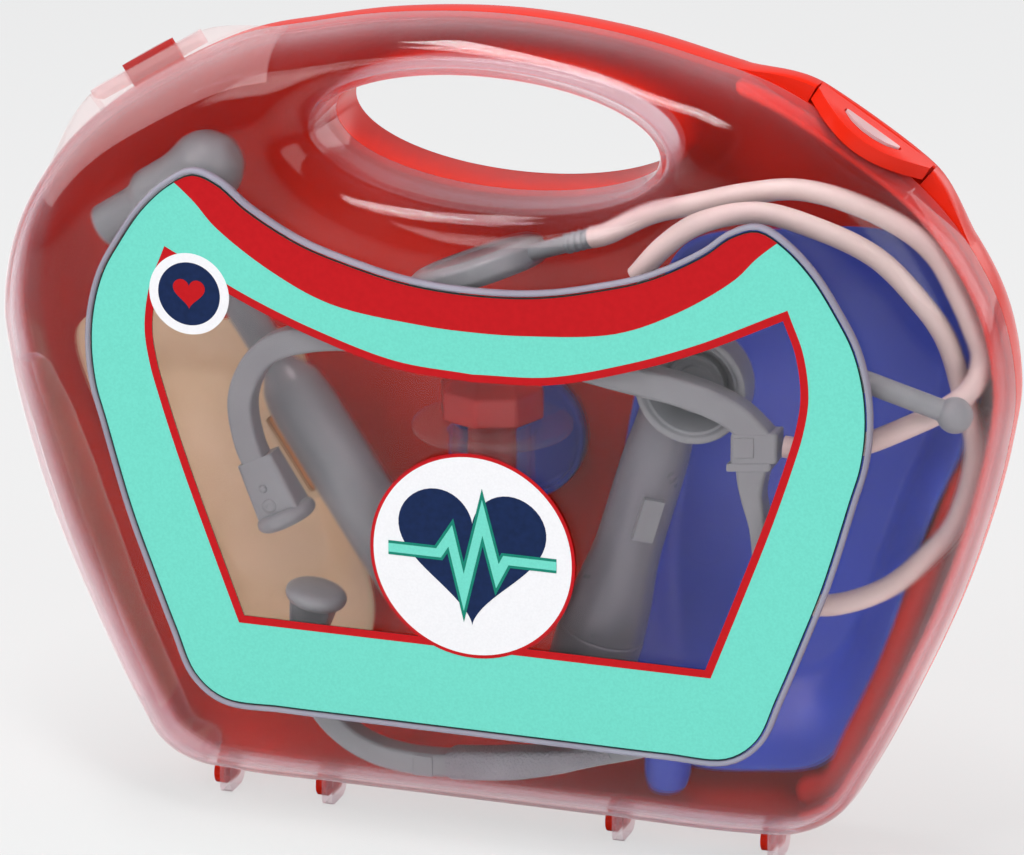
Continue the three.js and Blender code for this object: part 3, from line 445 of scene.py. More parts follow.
CHEST = np.array((-8, -1, 166.5))
STEM_END = np.array((28.8, -10.2, 181.6))
STEM_AXIS = unit(STEM_END - CHEST)
cord("stethoscope_cord", [
    tuple(STEM_END + STEM_AXIS * 0.3), tuple(STEM_END + STEM_AXIS * 5),
    (45.4, -9.6, 190), (59.6, -9, 194.4), (74, -9, 198.7), (88, -8, 200.8), (104, -6, 197.5),
    (119.9, -5, 190.4), (126.9, -2, 182.7), (131.9, -1, 173.6), (136.6, 0, 162.8), (139, 0.5, 155),
    (137.8, -3, 147.5), (133, -8, 142.8), (120, -14, 136), (110, -19, 132.2), (99, -21.5, 130),
    (89, -22.5, 130.6),
])
cord("second_cord", [
    (45, -20, 175), (53, -20.5, 184.5), (63.3, -20.5, 192.4), (79.5, -18.5, 196.4), (96, -14, 191.8),
    (110.3, -7, 183), (120.6, -2, 171), (128, 2, 158.8), (133, 4.4, 141.2), (136.6, 4.4, 126), (131.6, 3.5, 104),
    (124, 1, 94), (116, -3, 86.5), (106, -8, 82), (96.5, -12, 80.8), (87, -13, 82.5),
])

# Case: the front half is drawn, and the rear half is its twin turned half round
HALF_WIDTH = 149.6
HEIGHT = 233
BOTTOM = 8.2
DEPTH = 29
WALL = 2.2
SEAM = 0.15
EDGE_WIDTH = 26
EDGE_POWER = 2.4
HOLE = np.array((0, BOTTOM + 200.5))
HOLE_REACH = np.array((50.5, 18.5))
RIM_STEPS = 360
RIM = [
    (0, 1), (0.224, 0.989), (0.384, 0.968), (0.527, 0.943), (0.717, 0.876), (0.819, 0.828), (0.896, 0.773),
    (0.967, 0.69), (0.997, 0.591), (0.985, 0.521), (0.957, 0.439), (0.899, 0.32), (0.819, 0.198), (0.733, 0.086),
    (0.68, 0.032), (0.61, 0.007), (0.5, 0), (0.25, 0), (0, 0),
]
rim = spline([(x * HALF_WIDTH, BOTTOM + z * HEIGHT) for x, z in mirrored(RIM)], True, 40)
rim = evenly(rim, RIM_STEPS, True)
rim_normals = normals_of(rim)
fine_rim = evenly(rim, 2 * RIM_STEPS, True)
fine_normals = normals_of(fine_rim)

# Scoop round the grip hole, which falls away from a rounded lip
SCOOP_ASIDE = 68
SCOOP_ABOVE = 80
SCOOP_BELOW = 39
LIP_DEPTH = 20
LIP_ROUND = 4
SCOOP_RISE = 13
CREASE_BLEND = 4


def inset_of(points):
    """Distance of each point from the rim."""
    start, run = rim, np.roll(rim, -1, 0) - rim
    least = []
    for chunk in np.array_split(points, max(len(points) // 2000, 1)):
        away = chunk[:, None, :] - start
        share = np.clip((away * run).sum(2) / (run * run).sum(1), 0, 1)
        least.append(np.linalg.norm(away - share[:, :, None] * run, axis=2).min(1))
    return np.concatenate(least)


def edge_depth(inset):
    """Depth of the shell's rounded edge at a distance from the rim."""
    share = 1 - np.minimum(inset / EDGE_WIDTH, 1)
    return DEPTH * (1 - share**EDGE_POWER) ** (1 / EDGE_POWER)


def edge_inset(depth):
    """Distance from the rim at which the rounded edge has a depth."""
    return EDGE_WIDTH * (1 - (1 - (depth / DEPTH) ** EDGE_POWER) ** (1 / EDGE_POWER))


def depth_at(points):
    """How far the shell's surface lies in front of the parting plane."""
    edge = edge_depth(inset_of(points))
    x, z = (points - HOLE).T
    inner = np.hypot(x / HOLE_REACH[0], z / HOLE_REACH[1])
    outer = np.hypot(x / SCOOP_ASIDE, z / np.where(z > 0, SCOOP_ABOVE, SCOOP_BELOW))
    share = np.where(inner > outer, np.clip((inner - 1) / np.maximum(inner - outer, 1e-6), 0, 1), 0)
    away = np.maximum(inner - 1, 0) * inner / np.hypot(x / HOLE_REACH[0] ** 2, z / HOLE_REACH[1] ** 2)
    bend = 1 - np.minimum(away / LIP_ROUND, 1)
    scoop = LIP_DEPTH - LIP_ROUND * (1 - np.sqrt(1 - bend**2)) + SCOOP_RISE * (share + eased(share)) / 2
    near = np.maximum(CREASE_BLEND - np.abs(edge - scoop), 0) / CREASE_BLEND
    low = np.minimum(edge, scoop)
    return np.maximum(low - near**2 * low / DEPTH, 0)


def shell_skin():
    """Outer face and inner face of a half, on spokes that run from the grip hole to the rim."""
    # Distances of the rows of points from the grip hole and from the rim, and the count of rows between them
    from_hole = [0, 0.12, 0.4, 0.8, 1.4, 2.1, 3, 4, 5.2, 6.6, 8.2, 10, 12, 14.5, 17.5, 21, 25]
    from_rim = [33, 29, 26, 23, 20, 17.2, 14.5, 12, 9.8, 7.8, 6, 4.4, 3.1, 2, 1.2, 0.6, 0.2, 0]
    between = 6
    ray = rim - HOLE
    hole = HOLE + ray / np.hypot(*(ray / HOLE_REACH).T)[:, None]
    spoke = rim - hole
    length = np.linalg.norm(spoke, axis=1)
    squeeze = np.minimum(1, length / ((from_hole[-1] + from_rim[0]) * 1.1))
    early = [away * squeeze / length for away in from_hole]
    late = [1 - away * squeeze / length for away in from_rim]
    middle = [early[-1] + (late[0] - early[-1]) * k / (between + 1) for k in range(1, between + 1)]
    shares = np.array(early + middle + late)
    flat = hole + shares[:, :, None] * spoke
    points = flat.reshape(-1, 2)
    step = 0.11
    slope = [(depth_at(points + d) - depth_at(points - d)) / (2 * step) for d in ((step, 0), (0, step))]
    normal = np.stack([-slope[0], -np.ones(len(points)), -slope[1]], 1)
    normal /= np.linalg.norm(normal, axis=1)[:, None]
    normal = normal.reshape(len(shares), len(rim), 3)
    depth = depth_at(points).reshape(len(shares), len(rim))
    towards_hole = -(ray / HOLE_REACH**2)
    towards_hole /= np.linalg.norm(towards_hole, axis=1)[:, None]
    for row, sideways in ((0, towards_hole), (-1, rim_normals)):
        depth[row] = SEAM
        normal[row] = at_depth(sideways, 0)
    outer = np.stack([flat[:, :, 0], -depth, flat[:, :, 1]], 2)
    inner = outer - normal * WALL
    inner[1:-1, :, 1] = np.minimum(inner[1:-1, :, 1], -SEAM * 2)
    return skin(np.concatenate([outer, inner[::-1]]), closed=True)


LABEL = [
    (0, 0.828), (0.17, 0.836), (0.32, 0.86), (0.45, 0.89), (0.585, 0.943), (0.66, 0.985), (0.725, 1),
    (0.79, 0.975), (0.86, 0.925), (0.92, 0.86), (0.965, 0.8), (0.992, 0.73), (1, 0.66), (0.99, 0.585),
    (0.965, 0.52), (0.9, 0.355), (0.845, 0.244), (0.785, 0.13), (0.735, 0.045), (0.66, 0.004), (0.5, 0),
    (0.25, 0), (0, 0),
]
LABEL_BASE = BOTTOM + 29.5
LABEL_HALF_WIDTH = 114.4
LABEL_HEIGHT = 157


def on_label(x, z):
    return (x * LABEL_HALF_WIDTH, LABEL_BASE + z * LABEL_HEIGHT)


label_loop = evenly(spline([on_label(x, z) for x, z in mirrored(LABEL)], True, 40), 300, True)


def bead_skin():
    """Raised bead round the label's place."""
    section = [(0.3, 27.9), (0.3, 29.6), (0.6, 30.2), (1.05, 30.4), (1.5, 30.2), (1.8, 29.6), (1.8, 27.9)]
    return skin([at_depth(offset(label_loop, away), depth) for away, depth in section], closed=True)


def on_wall(i, section):
    """A section given as insets and depths, set at a point of the rim."""
    return [upright(*(fine_rim[i] - fine_normals[i] * inset), depth) for inset, depth in section]


def lip_skin():
    """Lip up the left side that guides the halves together."""
    section = rounded([(1.1, 5), (4.6, 5), (5.2, -6), (3.6, -6), (3, 0.6), (1.1, 0.6)],
                      [0, 1, 0.8, 0.8, 0.3, 0], 5, closed=True)
    middle = np.array((3.95, -0.5))
    above, below = 68, 88
    keep = [i for i, (x, z) in enumerate(fine_rim) if -x > (above if z > HOLE[1] else below)]
    taper = [blunt(min(step, len(keep) - 1 - step) / 4, 0.02) for step in range(len(keep))]
    return skin([on_wall(i, middle + (section - middle) * tight) for i, tight in zip(keep, taper)])


def ridge_skin():
    """Ridge beside the left rim, with a bulb at its foot, which sinks into the wall further up."""
    top, corner, corner_width = 131, 30, 84
    keep = [i for i, (x, z) in enumerate(fine_rim) if z < top and x < (-corner_width if z < corner else 0)]
    turn = np.linspace(math.pi, 0, 15)
    rings = []
    for step, i in enumerate(keep):
        z = fine_rim[i, 1]
        bulb = 1.5 * max(1 - step / 12, 0)
        radius = (np.interp(z, (60, top), (4, 3.3)) + bulb) * blunt(step / 7, 0.01)
        inset = np.interp(z, (12, 30, 50, 73, 92, 110, 120, top), (7, 9.3, 10.2, 12.2, 12.6, 12.2, 10.8, 9.6))
        crest = np.interp(z, (92, 104, 115, 126, top), (8.8, 10.2, 11.5, 14, 20))
        base = inset + radius * np.linspace(1, -1, 9)
        wall = np.maximum(edge_depth(base) - 1.2, crest + 0.1)
        section = [*zip(inset + radius * np.cos(turn), crest - radius * np.sin(turn)), *zip(base, wall)]
        rings.append(on_wall(i, section))
    return skin(rings)


# A latch's own directions: along the rim, ahead across the seam, and outward
LATCH_X = 104.7
SLOT_GAP = 0.5
TONGUE_HALF_WIDTH = 19
TONGUE_ROOT = -4.4
latch_index = min((i for i in range(len(rim)) if rim[i, 1] > BOTTOM + HEIGHT / 2),
                  key=lambda i: abs(rim[i, 0] - LATCH_X))
latch_origin = rim[latch_index]
latch_angle = math.atan2(*rim_normals[latch_index])
rim_pitch = float(np.linalg.norm(rim[latch_index + 1] - latch_origin))


def at_latch(flip):
    def put(along, ahead, height):
        x = latch_origin[0] + along * math.cos(latch_angle) + height * math.sin(latch_angle)
        z = latch_origin[1] - along * math.sin(latch_angle) + height * math.cos(latch_angle)
        return (-x, ahead, z) if flip else (x, -ahead, z)
    return put


def notch(grow):
    """Outline of the catch, or of the slot round it."""
    half = [(9 + grow, 0.9 - grow), (9 + grow, 2.3), (5.6 + grow * 0.6, 4.7 + grow * 0.8), (2, 5.7 + grow)]
    return rounded(half + mirror(half), 0.8, 3, closed=True)


def tongue(name, look, body, node, flip):
    """Latch tongue that bends down towards its tip and is thicker ahead of its root."""
    put = at_latch(flip)
    outline = bow(TONGUE_HALF_WIDTH, 0, 10)
    outline += [(-TONGUE_HALF_WIDTH, TONGUE_ROOT), (TONGUE_HALF_WIDTH, TONGUE_ROOT)]

    def bent(along, ahead, height):
        sole = 2.1 if height < 3 and ahead > -1 else 0
        return put(along, ahead, height - sole - 0.01 * max(ahead, 0) ** 2)

    plate(name, outline, 2.8, 5, bent, look, body, node, holes=[notch(SLOT_GAP)], bevel=0.7)


def pad_skin():
    """Swelling of the left shoulder behind a tongue's root, which fades along the rim and towards the back."""
    reach, fade = 44, 26
    front_beside, front_at_root, crest, rear = 0.5, 4.7, 6, 24
    height, sink, thick = 5.3, 0.15, 1.4
    at_root, beside = TONGUE_HALF_WIDTH + 0.15, TONGUE_HALF_WIDTH + 0.3
    right = [*range(1, 18, 2), at_root, beside, *range(20, reach + 1, 2)]
    rings = []
    for along in [-a for a in reversed(right)] + right:
        climb = eased(min((reach - abs(along)) / fade, 1))
        first = front_beside if abs(along) >= beside else front_at_root
        behind = first + (rear - first) * np.linspace(0, 1, 14) ** 1.3
        shell = -edge_inset(behind)
        rise = height * (1 - eased(np.clip((behind - crest) / (rear - crest), 0, 1)))
        rise[0] -= 0.5
        top = shell - sink + climb * (rise + sink)
        k = latch_index + along / rim_pitch
        i, part = int(math.floor(k)), k % 1
        place = rim[i] * (1 - part) + rim[i + 1] * part
        outward = rim_normals[i] * (1 - part) + rim_normals[i + 1] * part
        section = [*zip(behind, top), *zip(behind[::-1], shell[::-1] - thick)]
        rings.append([(place[0] + outward[0] * h, d, place[1] + outward[1] * h) for d, h in section])
    return skin(rings)


# Hinge ears, which hang under the seam
EAR_RADIUS = 3.8
EAR_HALF_THICKNESS = 1.6
EAR_TOP = 9.96
PIN_RADIUS = 1.6
BORE_RADIUS = 1.9


def ear(name, place, look, body, node, flip):
    behind = -1 if flip else 1
    outline = [(-8.5, EAR_TOP), (-8.5, 2), (-8.1, 0.9), (-7.5, 0.25), (-6.5, 0)]
    turn = np.linspace(0, math.pi, 15)
    outline += [(EAR_RADIUS * math.sin(a), EAR_RADIUS - EAR_RADIUS * math.cos(a)) for a in turn]
    outline += [(-0.6, 2 * EAR_RADIUS), (-0.6, EAR_TOP)]
    bore = [disc(BORE_RADIUS, (0, EAR_RADIUS), 32)] if flip else []
    plate(name, outline, place - EAR_HALF_THICKNESS, place + EAR_HALF_THICKNESS,
          lambda y, z, x: (x, behind * y, z), look, body, node, holes=bore, bevel=0.35)


# Each half: looks of its shell, bead, pad and catch, the catch's top, and the ears' places
HALVES = (
    ("front", clear, clear_bead_painted_sheen, clear_pad, clear_catch, 5.4, (-83.4, -51.9, 36.45, 82.95)),
    ("rear", red_shell, red_shell, red_shell, red_solid, 6.6, (-87, -55.5, 32.85, 79.35)),
)
skins = {"shell": shell_skin(), "bead": bead_skin(), "lip": lip_skin(), "ridge": ridge_skin()}
pad_points, pad_faces = pad_skin()
for half, look, bead_look, pad_look, catch_look, catch_top, ears in HALVES:
    flip = half == "rear"
    body, node = f"{half}_half", f"shell_{half}"
    for part, (points, faces) in skins.items():
        finish = bead_look if part == "bead" else look
        piece(f"{half}_{part}", turned(points) if flip else points, faces, finish, body, node)
    plate(f"{half}_catch", notch(0), -2, catch_top, at_latch(flip), catch_look, body, node, bevel=0.6)
    piece(f"{half}_pad", pad_points if flip else turned(pad_points), pad_faces, pad_look, body, node, crease=50)
    for i, place in enumerate(ears):
        ear(f"{half}_ear_{i + 1}", place, look, body, node, flip)
for i, place in enumerate(HALVES[0][-1]):
    lathe(f"hinge_pin_{i + 1}", rounded([(PIN_RADIUS, 0), (PIN_RADIUS, 4.9), (0, 5.2)], 0.4),
          (place, 0, EAR_RADIUS), (-1, 0, 0), clear, "front_half", "shell_front", sides=24)
tongue("right_tongue", red_shell, "right_tongue", "latch_tongue_right", False)
tongue("left_tongue", clear_latch, "left_tongue", "latch_tongue_left", True)

# Label: a sheet with its window, dark so that its edge is a painted shadow line, and the prints on it in layers, a
# teal field first
CARD_BACK = 29.3
PRINT_BACK = 29.5
CARD_FACE = 29.6
PRINT_STEP = 0.05
PRINT_MARGIN = 0.35
DISC = (0, BOTTOM + 82.1)
DISC_RADIUS = 29.5
BADGE = on_label(-0.737, 0.775)
window_top = [on_label(*p) for p in ((0, 0.665), (0.2, 0.675), (0.4, 0.715), (0.58, 0.765), (0.79, 0.84))]
window_side = [on_label(*p) for p in (
    (0.79, 0.84), (0.822, 0.779), (0.836, 0.703), (0.825, 0.641), (0.8, 0.575), (0.746, 0.454), (0.676, 0.314),
    (0.602, 0.17),
)]
window_half = [*map(tuple, spline(window_top, per=10)[:-1]), *map(tuple, spline(window_side, per=8))]
window = np.array(window_half + mirror(window_half[1:]))


def printed(name, outline, layer, look, holes=()):
    top = CARD_FACE + layer * PRINT_STEP
    plate(name, outline, PRINT_BACK, top, upright, look, "front_half", "label_sheet", holes=holes)


# The card's dark tone shows at its edges, as a painted shadow line
plate("label_sheet_card", label_loop, CARD_BACK, CARD_FACE, upright, edge_painted_shadow, "front_half", "label_sheet",
      holes=[window])
print_edge = offset(label_loop, -PRINT_MARGIN)
printed("label_field", print_edge, 1, teal_print, [window])
band_top = np.array(sorted([p for p in print_edge if abs(p[0]) < 88.3 and p[1] > 160], key=lambda p: p[0]))
band_half = [
    (0, 156.8), (16.3, 157.4), (42.1, 160.8), (60, 168.8), (76.3, 180), (82.3, 186.5), (86.4, 190.2), (88.5, 191.9),
]
band_low = spline(mirror(band_half) + band_half[1:], per=8)
printed("label_band", np.vstack([band_top, band_low[::-1]]), 2, red_print)
printed("window_line", grown(window, 2.3), 2, red_print, [window])
printed("disc_ring", disc(DISC_RADIUS + 1, DISC), 3, red_print)
plate("label_disc", disc(DISC_RADIUS, DISC), 29.31, 29.78, upright, white_print, "front_half", "label_sheet")
printed("badge_rim", disc(12, BADGE), 3, white_print)
printed("badge_field", disc(9.3, BADGE), 3.4, navy_print)
printed("badge_heart", heart(9.6, BADGE), 4.4, red_print)
printed("disc_heart", heart(44, DISC), 4.6, navy_print)
pulse = [(x, DISC[1] + z) for x, z in (
    (-25, 0), (-10, 0), (-6.5, 5.5), (-2.5, -11), (3, 12), (7.5, -5), (10, 0), (25, 0),
)]
printed("disc_pulse_edge", stroke(pulse, 4.2), 5.4, green_print)
printed("disc_pulse", stroke(pulse, 2.6), 6.2, teal_print)

# Contents: the open trays first, which lie on the rear half's floor, and the rest a gap in front of them
FLOOR = DEPTH - WALL - 0.6
GAP = 0.3
SPLINT_RIM = 14
ROUND_DISH_HEIGHT = 6.1


def dish(name, rim_points, rim_depth, floor_share, wall, look, node):
    """Open tray with its rim towards the front and a rounded turn into its floor."""
    loop = evenly(spline(rim_points, True, 20), 160, True)
    if np.cross(loop, np.roll(loop, -1, 0)).sum() > 0:
        loop = loop[::-1]
    middle = loop.mean(0)
    down = FLOOR - rim_depth
    corner = np.array((floor_share, down))
    before, after = corner + (-0.05, 0), corner + np.array((1 - floor_share, -down)) * 0.22
    line = [(0.02, down), (floor_share * 0.5, down)]
    line += [bezier(before, corner, after, t) for t in np.linspace(0, 1, 8)] + [(1, 0)]

    def ring(inset, share, behind):
        return at_depth(middle + (offset(loop, -inset) - middle) * share, -behind)

    rings = [ring(0, s, rim_depth + d) for s, d in line]
    rings.append(ring(wall * 0.5, 1, rim_depth))
    for s, d in reversed(line):
        rings.append(ring(wall, s, rim_depth + d - (wall if d > down * 0.7 else wall * d / down)))
    piece(name, *skin(rings), look, "rear_half", node, crease=60)


dish("tray", [
    (50, 176), (80, 184), (112, 186), (131, 177), (138, 160), (134, 130), (124, 105), (115.5, 79), (108.5, 55),
    (101, 36), (92, 25), (76, 21), (50, 20.5), (34, 32), (28, 62), (31, 100), (38, 140),
], 8, 0.74, 1.6, blue, "blue_tray")
lathe("tray_ring", [(6.5, -0.3), (7, -0.3), (7, 0.2), (6.5, 0.2)], (52.1, FLOOR - 1.6, 81.6), FRONTWARD, blue,
      "rear_half", "blue_tray", sides=96, closed=True)
dish("splint_piece", [
    (-136, 130), (-124, 138), (-92, 138), (-69, 134), (-60, 104), (-45, 52), (-53, 35), (-84, 30), (-101, 46),
    (-121, 88),
], SPLINT_RIM, 0.62, 2, cream, "splint")
lathe("round_dish_piece", rounded(
    [(0, 0), (19.5, 0), (19.5, ROUND_DISH_HEIGHT), (17.7, ROUND_DISH_HEIGHT), (17.7, 1.8), (0, 1.8)],
    [0, 2, 0.7, 0.7, 1.5, 0]), (-3, FLOOR, 110), FRONTWARD, blue, "rear_half", "round_dish", sides=96)
lathe("peg", rounded([(0, 0), (5.2, 0.1), (6.6, 5), (6.6, 28.5), (0, 28.5)], [0, 2, 2, 0.8, 0]),
      (48.5, 1.1, 14.5), UPWARD, blue, "rear_half", "blue_peg")

# Reflex hammer, which lies on the splint
HAMMER_RADIUS = 9.7
HAMMER_Y = SPLINT_RIM - GAP - HAMMER_RADIUS
hammer_end = np.array((-29, HAMMER_Y, 67))
hammer_centre = np.array((-103, HAMMER_Y, 178.5))
hammer_axis = unit(hammer_centre - hammer_end)
hammer_side = np.array((-hammer_axis[2], 0, hammer_axis[0]))
hammer_length = np.linalg.norm(hammer_centre - hammer_end) - 8.8
lathe("hammer_handle", rounded([
    (0, 0), (9.2, 0), (HAMMER_RADIUS, 3), (HAMMER_RADIUS, 61), (8.6, 69), (5, 74), (5, hammer_length),
    (0, hammer_length),
], [0, 1.5, 2, 4, 5, 3, 0.6, 0]), hammer_end, hammer_axis, grey, "rear_half", "hammer_grip")
lathe("hammer_top", rounded([
    (0, -24), (6.5, -24), (6.5, -10), (9, -6.5), (9, 4.5), (9.8, 8.4), (11.2, 14), (9.6, 19.6), (4.5, 24.3),
    (0, 24.3),
], [0, 1.2, 2, 2, 1.5, 3, 6, 6, 3, 0]), hammer_centre, -hammer_side, grey, "rear_half", "hammer_head")

# Otoscope
HEAD = (60.2, -18.5, 142.9)
LENS_INSET = 7.7
lathe("otoscope_ring", rounded([
    (0, 15), (11.3, 15), (16.2, 10.5), (16.2, 0), (14.4, 0), (13.6, 1), (12.9, 1), (8.9, 8), (0, 8),
], [0, 1, 2, 0.7, 0.5, 0.3, 0.5, 0.5, 0]), HEAD, -FRONTWARD, grey, "rear_half", "otoscope_head", sides=96)
lathe("otoscope_eye", rounded([
    (0, 0), (8.5, 0), (8.5, 3), (7.6, 3), (7.2, 2), (5.4, 2), (5.1, 2.6), (0, 2.6),
], [0, 0, 0.4, 0.3, 0.3, 0.3, 0.3, 0]), (HEAD[0], HEAD[1] + LENS_INSET, HEAD[2]), FRONTWARD, grey, "rear_half",
      "otoscope_lens", sides=96)
handle_top = np.array((49, -4.8, 126.5))
handle_run = np.array((25.4, -4.8, 46)) - handle_top
handle_length = np.linalg.norm(handle_run)
handle_axis = handle_run / handle_length
handle_profile = [(0, -6), (8.6, -6)] + [(radius, share * handle_length) for radius, share in (
    (8.6, 0), (9.4, 0.12), (9.4, 0.48), (11.6, 0.66), (12.3, 0.78), (12.05, 0.785), (12.5, 0.79), (12.5, 0.97),
    (10.5, 1), (0, 1),
)]
# The grip takes the darker grey, a painted shade
lathe("otoscope_grip", rounded(handle_profile, [0, 1, 4, 6, 9, 9, 0.2, 0.1, 0.2, 1.5, 1.5, 0]), handle_top,
      handle_axis, grey_painted_shade, "rear_half", "otoscope_handle", sides=96)

# Syringe, whose flange lies on the round dish
FLANGE_RADIUS = 23
SYRINGE_X = -3
SYRINGE_Y = FLOOR - ROUND_DISH_HEIGHT - GAP - FLANGE_RADIUS
PLUNGER_BASE = (SYRINGE_X, SYRINGE_Y, 63)
lathe("barrel", rounded([
    (1.2, 0), (2.4, 0), (3, 9), (12.4, 10.8), (12.4, 72.5), (FLANGE_RADIUS, 72.5), (FLANGE_RADIUS, 74.9),
    (11.1, 74.9), (11.1, 12.2), (1.2, 10.5),
], [0, 0.5, 1, 1.5, 1.2, 1, 1, 0.4, 1, 0.3], closed=True), (SYRINGE_X, SYRINGE_Y, 47), UPWARD, clear_solid,
      "rear_half", "syringe_barrel", sides=96, closed=True)
lathe("plunger_piece", rounded([
    (0, 0), (10.6, 0), (10.6, 7), (7, 7), (7, 62), (0, 62),
], [0, 0.8, 0.8, 0.5, 0.3, 0]), PLUNGER_BASE, UPWARD, red_solid, "plunger", "syringe_plunger", sides=96)
plunger_cap = lathe("plunger_cap", [(0, 60.9), (15.2, 60.9), (15.4, 61.6), (15.4, 69.5), (10.2, 75.9), (0, 75.9)],
                    PLUNGER_BASE, UPWARD, red_solid, "plunger", "syringe_plunger", sides=8, crease=20)
soften(plunger_cap, 1.6, 4)

# Stethoscope headset, which lies in front of the otoscope's head
ARM_RADIUS = 3.7
ARM_Y = HEAD[1] - GAP - ARM_RADIUS
ARM_FRONT = ARM_Y - ARM_RADIUS


def arm(name, route, node, widths):
    path = evenly(spline([(x, y + ARM_Y, z) for x, y, z in route]), 120)
    size = [(np.interp(share, *zip(*widths)), 1) for share in np.linspace(0, 1, len(path))]
    sweep(name, path, box(ARM_RADIUS, ARM_RADIUS, 1.3, 4), grey, "rear_half", node, size, crease=50)


arm("upper_arm", [
    (84, 0, 131), (74.6, 0, 139), (61.4, 0, 143.5), (42, 0, 146.5), (10, 0, 151), (-25, 0, 150.5), (-50, 0, 148),
    (-64, 1, 142), (-72, 3, 128), (-71, 4.6, 113), (-67, 5, 104),
], "headset_upper_arm", [(0, 1.15), (0.3, 1.1), (1, 1)])
arm("lower_arm", [
    (81.5, 0, 130), (80.2, 0, 122), (80.4, 0, 116), (82.2, 0, 108), (83.4, 0, 98), (83, 0, 82), (77, 1, 60),
    (66, 3, 45.5), (50, 4.6, 36), (34, 5, 30.8), (22, 5, 27.2), (5, 5, 24), (-14, 5, 21.9), (-24.5, 5, 21.9),
    (-33, 5, 23.3), (-41, 5, 26.8), (-48, 5, 32.8), (-53, 5, 41), (-55.3, 5, 50), (-54, 5, 58),
], "headset_lower_arm", [
    (0, 1.3), (0.03, 1.2), (0.06, 0.86), (0.1, 0.68), (0.3, 0.7), (0.42, 0.75), (0.6, 0.9), (1, 0.92),
])


def facing(name, points, front, rear, node, bevel):
    """A block with its outline drawn from the front, between two places from front to rear."""
    plate(name, points, -rear, -front, upright, grey, "rear_half", node, bevel=bevel)


facing("junction", [(74.4, 124.7), (88, 126.3), (88, 135.4), (74.4, 133.8)], ARM_FRONT - 0.15, ARM_Y + 3.8,
       "headset_junction", 0.9)
facing("junction_square", [(75.4, 126.9), (81.4, 127.6), (81.4, 133.5), (75.4, 132.8)], ARM_FRONT - 0.5,
       ARM_FRONT + 1, "headset_junction", 0.25)
facing("junction_collar", [(73.3, 122.7), (86.4, 124.2), (86.4, 126.6), (73.3, 125.1)], ARM_FRONT - 0.35, ARM_Y + 4,
       "headset_junction", 0.7)
grip_route = [(x, ARM_Y + 5, z) for x, z in ((38, 32), (30, 29.4), (22, 27.2), (5, 24), (-11, 22.2))]
grip_path = evenly(spline(grip_route), 60)
grip_size = [(np.interp(share, (0, 0.04, 0.3, 0.6, 0.97, 1), (0.4, 0.5, 0.78, 1, 0.95, 0.8)), 1)
             for share in np.linspace(0, 1, len(grip_path))]
sweep("lower_arm_grip", grip_path, box(4.5, 4.1, 2, 4), grey_knurl, "rear_half", "headset_lower_arm", grip_size)
facing("lower_arm_square", [(-21, 18.6), (-15, 18.6), (-15, 24.6), (-21, 24.6)], ARM_FRONT + 4.65, ARM_FRONT + 6,
       "headset_lower_arm", 0.25)

# Ear buds
BUD_Y = -17.6


def bud(name, start, end, node, widths):
    """Flat-sided block that widens to a round disc."""
    start, end = (np.array((x, BUD_Y, z)) for x, z in (start, end))
    axis = unit(end - start)
    steps = 12
    path = start + np.outer(np.linspace(0, np.linalg.norm(end - start) - 3, steps), axis)
    size = [*zip(np.linspace(*widths, steps), np.linspace(3.9, 5.4, steps))]
    sweep(name + "_block", path, box(1, 1, 0.3, 4), grey, "rear_half", node, size, crease=50)
    lathe(name + "_disc", rounded([
        (0, 0), (7.4, 0), (8.9, 1.6), (8.9, 3.6), (7.2, 5), (0, 5.6),
    ], [0, 1, 1.2, 1.2, 1.6, 0]), end - axis * 4, axis, grey, "rear_half", node, sides=96)


bud("upper_bud", (-68.6, 108.5), (-59.5, 90.5), "ear_bud_upper", (5.7, 6.8))
bud("lower_bud", (-54.3, 55), (-51, 70), "ear_bud_lower", (4.4, 6.4))
for i, (x, y, z, radius) in enumerate(((-65.4, -21.4, 100.6, 1.2), (-63.4, -21.65, 95.6, 2.2))):
    lathe(f"upper_bud_rivet_{i + 1}", rounded([
        (radius, 0), (radius, 1.2), (radius * 0.5, 1.5), (0, 1.1),
    ], [0, 0.4, 0.2, 0]), (x, y, z), FRONTWARD, grey, "rear_half", "ear_bud_upper", sides=24)

# Chest piece with its ribbed stem
STEM_RADIUS = 2.4
RIB_RADIUS = 2.9
RIB_COUNT = 4
RIB_PITCH = 2.3
chest_axis = unit(np.array((0, 0, 1)) - STEM_AXIS * STEM_AXIS[2])
lathe("chest_disc", rounded([
    (0, -4), (18.4, -4), (20, -2.4), (20, 2.4), (17, 4), (14, 4), (13, 3.2), (0, 3.2),
], [0, 0.6, 1, 1, 0.8, 0.4, 0.4, 0]), CHEST, chest_axis, grey, "rear_half", "chest_piece", sides=96)
stem_start = CHEST + STEM_AXIS * 16
stem_length = np.linalg.norm(STEM_END - stem_start)
ribs = [(0, 0), (STEM_RADIUS, 0)]
for k in range(RIB_COUNT):
    along = stem_length - (RIB_COUNT - k) * RIB_PITCH
    ribs += [(STEM_RADIUS, along), (RIB_RADIUS, along + 0.5), (RIB_RADIUS, along + 1.4), (STEM_RADIUS, along + 1.9)]
ribs += [(STEM_RADIUS, stem_length), (0, stem_length)]
lathe("stem", rounded(ribs, 0.3, 2), stem_start, STEM_AXIS, grey, "rear_half", "chest_stem", sides=48)

